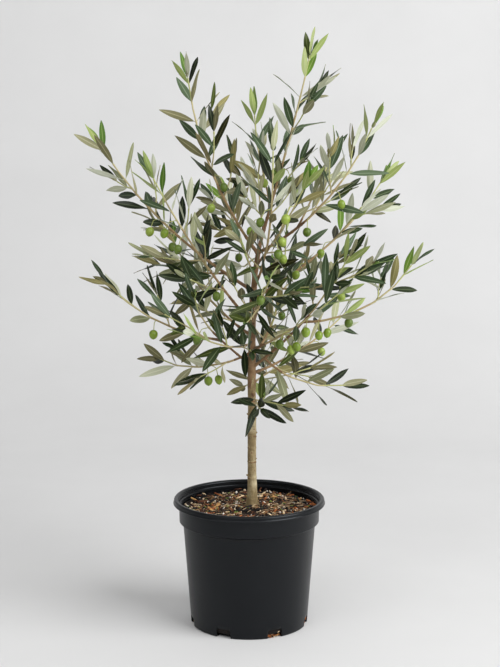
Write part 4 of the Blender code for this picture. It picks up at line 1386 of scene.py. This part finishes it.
def make_soil():
    heap = Heap()
    floor = POT_WALL + CLEARANCE
    outline = [(radius, SOIL_TOP) for radius in SOIL_RADIUS * np.linspace(0.002, 1.0, SOIL_RINGS)]
    outline += [(wall_radius(0.150) - floor, 0.150), (POT_FOOT_RADIUS - floor, floor + 0.004),
                (0.0002, floor)]
    points = turned(outline, SOIL_SIDES)
    for row in points[:SOIL_RINGS]:
        row[:, 2] = [soil_height(x, y) for x, y, _ in row]
    heap.add(points.reshape(-1, 3), (round_quads(len(points), SOIL_SIDES)[:, [0, 3, 2, 1]], 0))
    return heap.build("compost_bed", [compost()])


def hull_form(heap, points, slot):
    """The convex hull of some points as a flat-faced form."""
    form, spare = hull_of(points)
    bmesh.ops.delete(form, geom=spare, context="VERTS")
    form.verts.index_update()
    corners = [tuple(v.co) for v in form.verts]
    faces = [[v.index for v in face.verts] for face in form.faces]
    form.free()
    heap.add(corners, (faces, slot))


def chip_points(dice, centre, turn, tilt, size):
    """Corners of a split, ragged chip that stays above the ground."""
    long, wide, thick = size
    rolled = Matrix.Rotation(turn, 3, "Z")
    for angle, axis in zip(tilt, "XY"):
        rolled = rolled @ Matrix.Rotation(angle, 3, axis)
    corners = []
    for x, y, z in product((-0.5, 0.1, 0.5), (-0.5, 0.5), (-0.5, 0.5)):
        spot = Vector((x * long * dice.uniform(0.75, 1.1), y * wide * dice.uniform(0.45, 1.1),
                       z * thick * dice.uniform(0.5, 1.1)))
        corners.append(centre + rolled @ spot)
        corners[-1].z = max(CHIP_LOWEST, corners[-1].z)
    return corners


def gauss_pair(dice, first, second):
    return dice.gauss(0, first), dice.gauss(0, second)


def on_soil(x, y, lift):
    return Vector((x, y, soil_height(x, y) + lift))


def soil_spot(dice, margin, least=0.01):
    """A place dealt evenly over the soil, clear of its edge."""
    radius = (SOIL_RADIUS - margin) * math.sqrt(dice.uniform(least, 1.0))
    heading = dice.uniform(0, math.tau)
    return radius * math.cos(heading), radius * math.sin(heading)


def lay_chips(heap, dice):
    """Bark chips all over the compost."""
    for _ in range(CHIP_COUNT):
        x, y = soil_spot(dice, 0.0045, 0.006)
        big = dice.random() < BIG_CHIPS
        long = dice.uniform(*(BIG_LENGTH if big else CHIP_LENGTH))
        wide, thick = long * dice.uniform(0.14, 0.28 if big else 0.5), long * dice.uniform(0.08, 0.22)
        long = min(long, 2 * (SOIL_RADIUS - 0.0005 - math.hypot(x, y)) + 0.002)
        centre = on_soil(x, y, dice.uniform(0.0, 0.0042))
        tilt = gauss_pair(dice, 0.45, 0.36)
        kind = dice.choices(range(len(CHIP_TINTS)), CHIP_WEIGHTS)[0]
        turn = dice.uniform(0, math.tau)
        hull_form(heap, chip_points(dice, centre, turn, tilt, (long, wide, thick)), kind)


def lay_grains(heap, dice):
    """Rounded grains of perlite."""
    for _ in range(GRAIN_COUNT):
        x, y = soil_spot(dice, 0.004)
        grain = dice.uniform(*(SMALL_SIZE if dice.random() < SMALL_GRAINS else GRAIN_SIZE))
        centre = on_soil(x, y, 0.0022)
        points = []
        for _ in range(14):
            out = Vector([dice.gauss(0, 1) for _ in range(3)]).normalized()
            points.append(centre + out * grain * dice.uniform(0.4, 0.62))
        hull_form(heap, points, 0 if dice.random() < WHITE_GRAINS else 1)


def lay_moss(heap, dice):
    """Little tufts of moss, four flakes each."""
    for _ in range(TUFT_COUNT):
        x, y = soil_spot(dice, 0.006)
        centre = on_soil(x, y, 0.0028)
        for _ in range(4):
            size = (dice.uniform(0.002, 0.0045), dice.uniform(0.0008, 0.002), 0.0005)
            near = centre + Vector((*gauss_pair(dice, 0.001, 0.001), dice.uniform(0, 0.001)))
            tilt = gauss_pair(dice, 0.5, 0.5)
            turn = dice.uniform(0, math.tau)
            hull_form(heap, chip_points(dice, near, turn, tilt, size), dice.randint(0, 1))


def lay_fibres(heap, dice):
    """Fine curling fibres."""
    share = np.linspace(-0.5, 0.5, 9)
    for _ in range(FIBRE_COUNT):
        x, y = soil_spot(dice, 0.016)
        turn = dice.uniform(0, math.tau)
        long = dice.uniform(*FIBRE_LENGTH)
        curl = dice.uniform(-1.2, 1.2)
        path = []
        for s in share:
            px, py = x + s * long * math.cos(turn + curl * s), y + s * long * math.sin(turn + curl * s)
            path.append((px, py, soil_height(px, py) + 0.0022 + 0.0016 * math.cos(math.pi * s)))
        sweep(heap, path, np.full(9, dice.uniform(*FIBRE_RADIUS)), 6, dice.randint(0, 3))


def fill_notches(heap, dice):
    """Chips that show in the drain notches."""
    for heading, count in zip(NOTCH_HEADINGS, NOTCH_CHIPS):
        out = Vector((math.cos(heading), math.sin(heading), 0))
        side = Vector((-out.y, out.x, 0))
        for _ in range(count):
            across = dice.uniform(-0.5, 0.5) * (DRAIN_WIDTH - 0.003)
            height = dice.uniform(0.0012, DRAIN_HEIGHT - 0.0015) * dice.uniform(0.5, 1.0)
            reach = POT_FOOT_RADIUS - 0.0028 - dice.uniform(0.0, 0.006) + 0.05 * height
            size = (dice.uniform(0.004, 0.010), dice.uniform(0.002, 0.004), dice.uniform(0.0008, 0.002))
            tilt = gauss_pair(dice, 0.5, 0.5)
            kind = dice.choices(range(len(CHIP_TINTS)), NOTCH_WEIGHTS)[0]
            turn = heading + math.pi / 2 + dice.gauss(0, 0.5)
            centre = out * reach + side * across + UP * height
            hull_form(heap, chip_points(dice, centre, turn, tilt, size), kind)


def make_litter():
    """Bark chips, perlite, moss and fibres on the compost, and chips that show in the drain notches."""
    dice = random.Random(SEED + 23)
    chips, grains, moss, fibres = (Heap() for _ in range(4))
    lay_chips(chips, dice)
    lay_grains(grains, dice)
    lay_moss(moss, dice)
    lay_fibres(fibres, dice)
    fill_notches(chips, dice)
    kinds = [("chip_%d" % i, *tints) for i, tints in enumerate(CHIP_TINTS)]
    return [chips.build("bark_chips", wood_chips(kinds), smooth=False),
            grains.build("perlite", wood_chips(PERLITE_TINTS), smooth=False),
            moss.build("moss", wood_chips(MOSS_TINTS), smooth=False),
            fibres.build("fibres", wood_chips(FIBRE_TINTS))]


# ---------------------------------------------------------------- stage, lights and camera

# how far the flat floor runs to the sides, the back and the front, and where its sides curve up
STAGE_SIDE = 6.0
STAGE_BACK = 1.2
STAGE_FRONT = 6.0
STAGE_CURVE = 1.4
STAGE_TOP = 5.0
STAGE_CORNER = 9            # points round each corner
BEHIND_SIDE = 8.0           # the floor behind the backdrop, which lies a little lower
BEHIND_BACK = 9.0
BEHIND_HEIGHT = -0.002


def pale_paper(name):
    n = Nodes(name)
    return n.finish(n.ramp(n.noise(3.0, 3.0), (0.3, (219, 219, 219)), (0.7, (223, 223, 223))), 0.9)


def pale_backdrop():
    """The same paper, clear from behind, so that the tree is seen from the back as well."""
    material = pale_paper("pale_backdrop")
    tree = material.node_tree
    facing = tree.nodes.new("ShaderNodeNewGeometry")
    clear = tree.nodes.new("ShaderNodeBsdfTransparent")
    choice = tree.nodes.new("ShaderNodeMixShader")
    tree.links.new(facing.outputs["Backfacing"], choice.inputs["Fac"])
    tree.links.new(tree.nodes["Principled BSDF"].outputs["BSDF"], choice.inputs[1])
    tree.links.new(clear.outputs["BSDF"], choice.inputs[2])
    tree.links.new(choice.outputs["Shader"], tree.nodes["Material Output"].inputs["Surface"])
    return material


def make_stage():
    """A pale floor, a rounded rectangle that curves up into a backdrop all round, and one behind it."""
    heap = Heap()
    sides = 4 * STAGE_CORNER
    curve = arc(0.0, STAGE_CURVE, STAGE_CURVE, STAGE_CURVE, -90, 0, 13)
    rings = [(-0.04, 0.0), *curve, (STAGE_CURVE, STAGE_TOP)]
    corners = ((STAGE_SIDE, STAGE_BACK), (-STAGE_SIDE, STAGE_BACK), (-STAGE_SIDE, -STAGE_FRONT),
               (STAGE_SIDE, -STAGE_FRONT))
    points = []
    for reach, height in rings:
        for i, (x, y) in enumerate(corners):
            turn = arc(x, y, reach + 0.05, reach + 0.05, 90 * i, 90 * i + 90, STAGE_CORNER)
            points += [(*place, height) for place in turn]
    quads = round_quads(len(rings), sides)[:, [0, 3, 2, 1]]
    heap.add([(0.0, 0.0, 0.0)] + points, (quads + 1, 0), (fan(0, 1 + np.arange(sides)), 0))
    behind = product((STAGE_BACK, BEHIND_BACK), (-BEHIND_SIDE, BEHIND_SIDE))
    heap.add([(x, y, BEHIND_HEIGHT) for y, x in behind], ([(0, 1, 3, 2)], 1))
    heap.build("floor", [pale_backdrop(), pale_paper("pale_paper")])


def area_light(name, spot, aim, size, power):
    lamp = bpy.data.lights.new(name, "AREA")
    lamp.shape = "RECTANGLE"
    lamp.size, lamp.size_y = size
    lamp.energy = power
    holder = put(name, lamp)
    holder.location = spot
    holder.rotation_mode = "QUATERNION"
    holder.rotation_quaternion = (Vector(aim) - Vector(spot)).to_track_quat("-Z", "Y")
    holder.visible_camera = False


def make_lights():
    """A large key from the right, a soft light overhead and a fill from the front left."""
    world = bpy.data.worlds.new("studio")
    world.use_nodes = True
    sky = world.node_tree.nodes["Background"]
    sky.inputs["Color"].default_value = (1.0, 1.0, 1.0, 1.0)
    sky.inputs["Strength"].default_value = 0.20
    bpy.context.scene.world = world
    area_light("key", (3.5, -2.3, 2.7), (0.0, -0.1, 0.25), (4.2, 3.6), 278.0)
    area_light("overhead", (-0.3, -0.1, 3.6), (-0.3, -0.1, 0.0), (4.8, 3.4), 16.0)
    area_light("front", (-1.3, -3.0, 3.2), (0.0, -0.1, 0.0), (3.8, 2.4), 58.0)


def make_camera():
    """The photo's view: an 85 mm lens that looks a little down."""
    camera = bpy.data.cameras.new("camera")
    camera.lens = 85.0
    camera.sensor_width = 36.0
    camera.clip_end = 50.0
    holder = put("camera", camera)
    holder.location = (0.0013, -2.4244, 0.8457)
    holder.rotation_euler = (math.radians(90 - 8.915), 0.0, 0.0)
    bpy.context.scene.camera = holder


# ---------------------------------------------------------------- the whole picture


def dress(piece, slot, *nodes):
    """The piece rides on the pot's body and stands for CAD nodes, which it hides; its slot is not used."""
    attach(piece, "root")
    if nodes:
        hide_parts(*nodes)


def main():
    make_camera()
    make_stage()
    make_lights()
    sprays = grow_all()
    foliage = ["foliage_" + limb.name for limb in LIMBS]
    dress(make_pot(), "black_plastic", "pot")
    dress(make_soil(), "potting_mix", "soil")
    for piece in make_litter():
        dress(piece, "potting_mix")
    dress(make_bark(), "bark", "trunk", *("bough_" + limb.name for limb in LIMBS))
    dress(make_twigs(sprays), "bark", *foliage)
    for i, piece in enumerate(make_leaves(sprays)):
        dress(piece, "olive_foliage", *foliage[i::LEAF_PIECES])
    for piece in make_olives(sprays):
        dress(piece, "olive_foliage")
    bpy.context.scene.view_settings.view_transform = "Standard"


main()
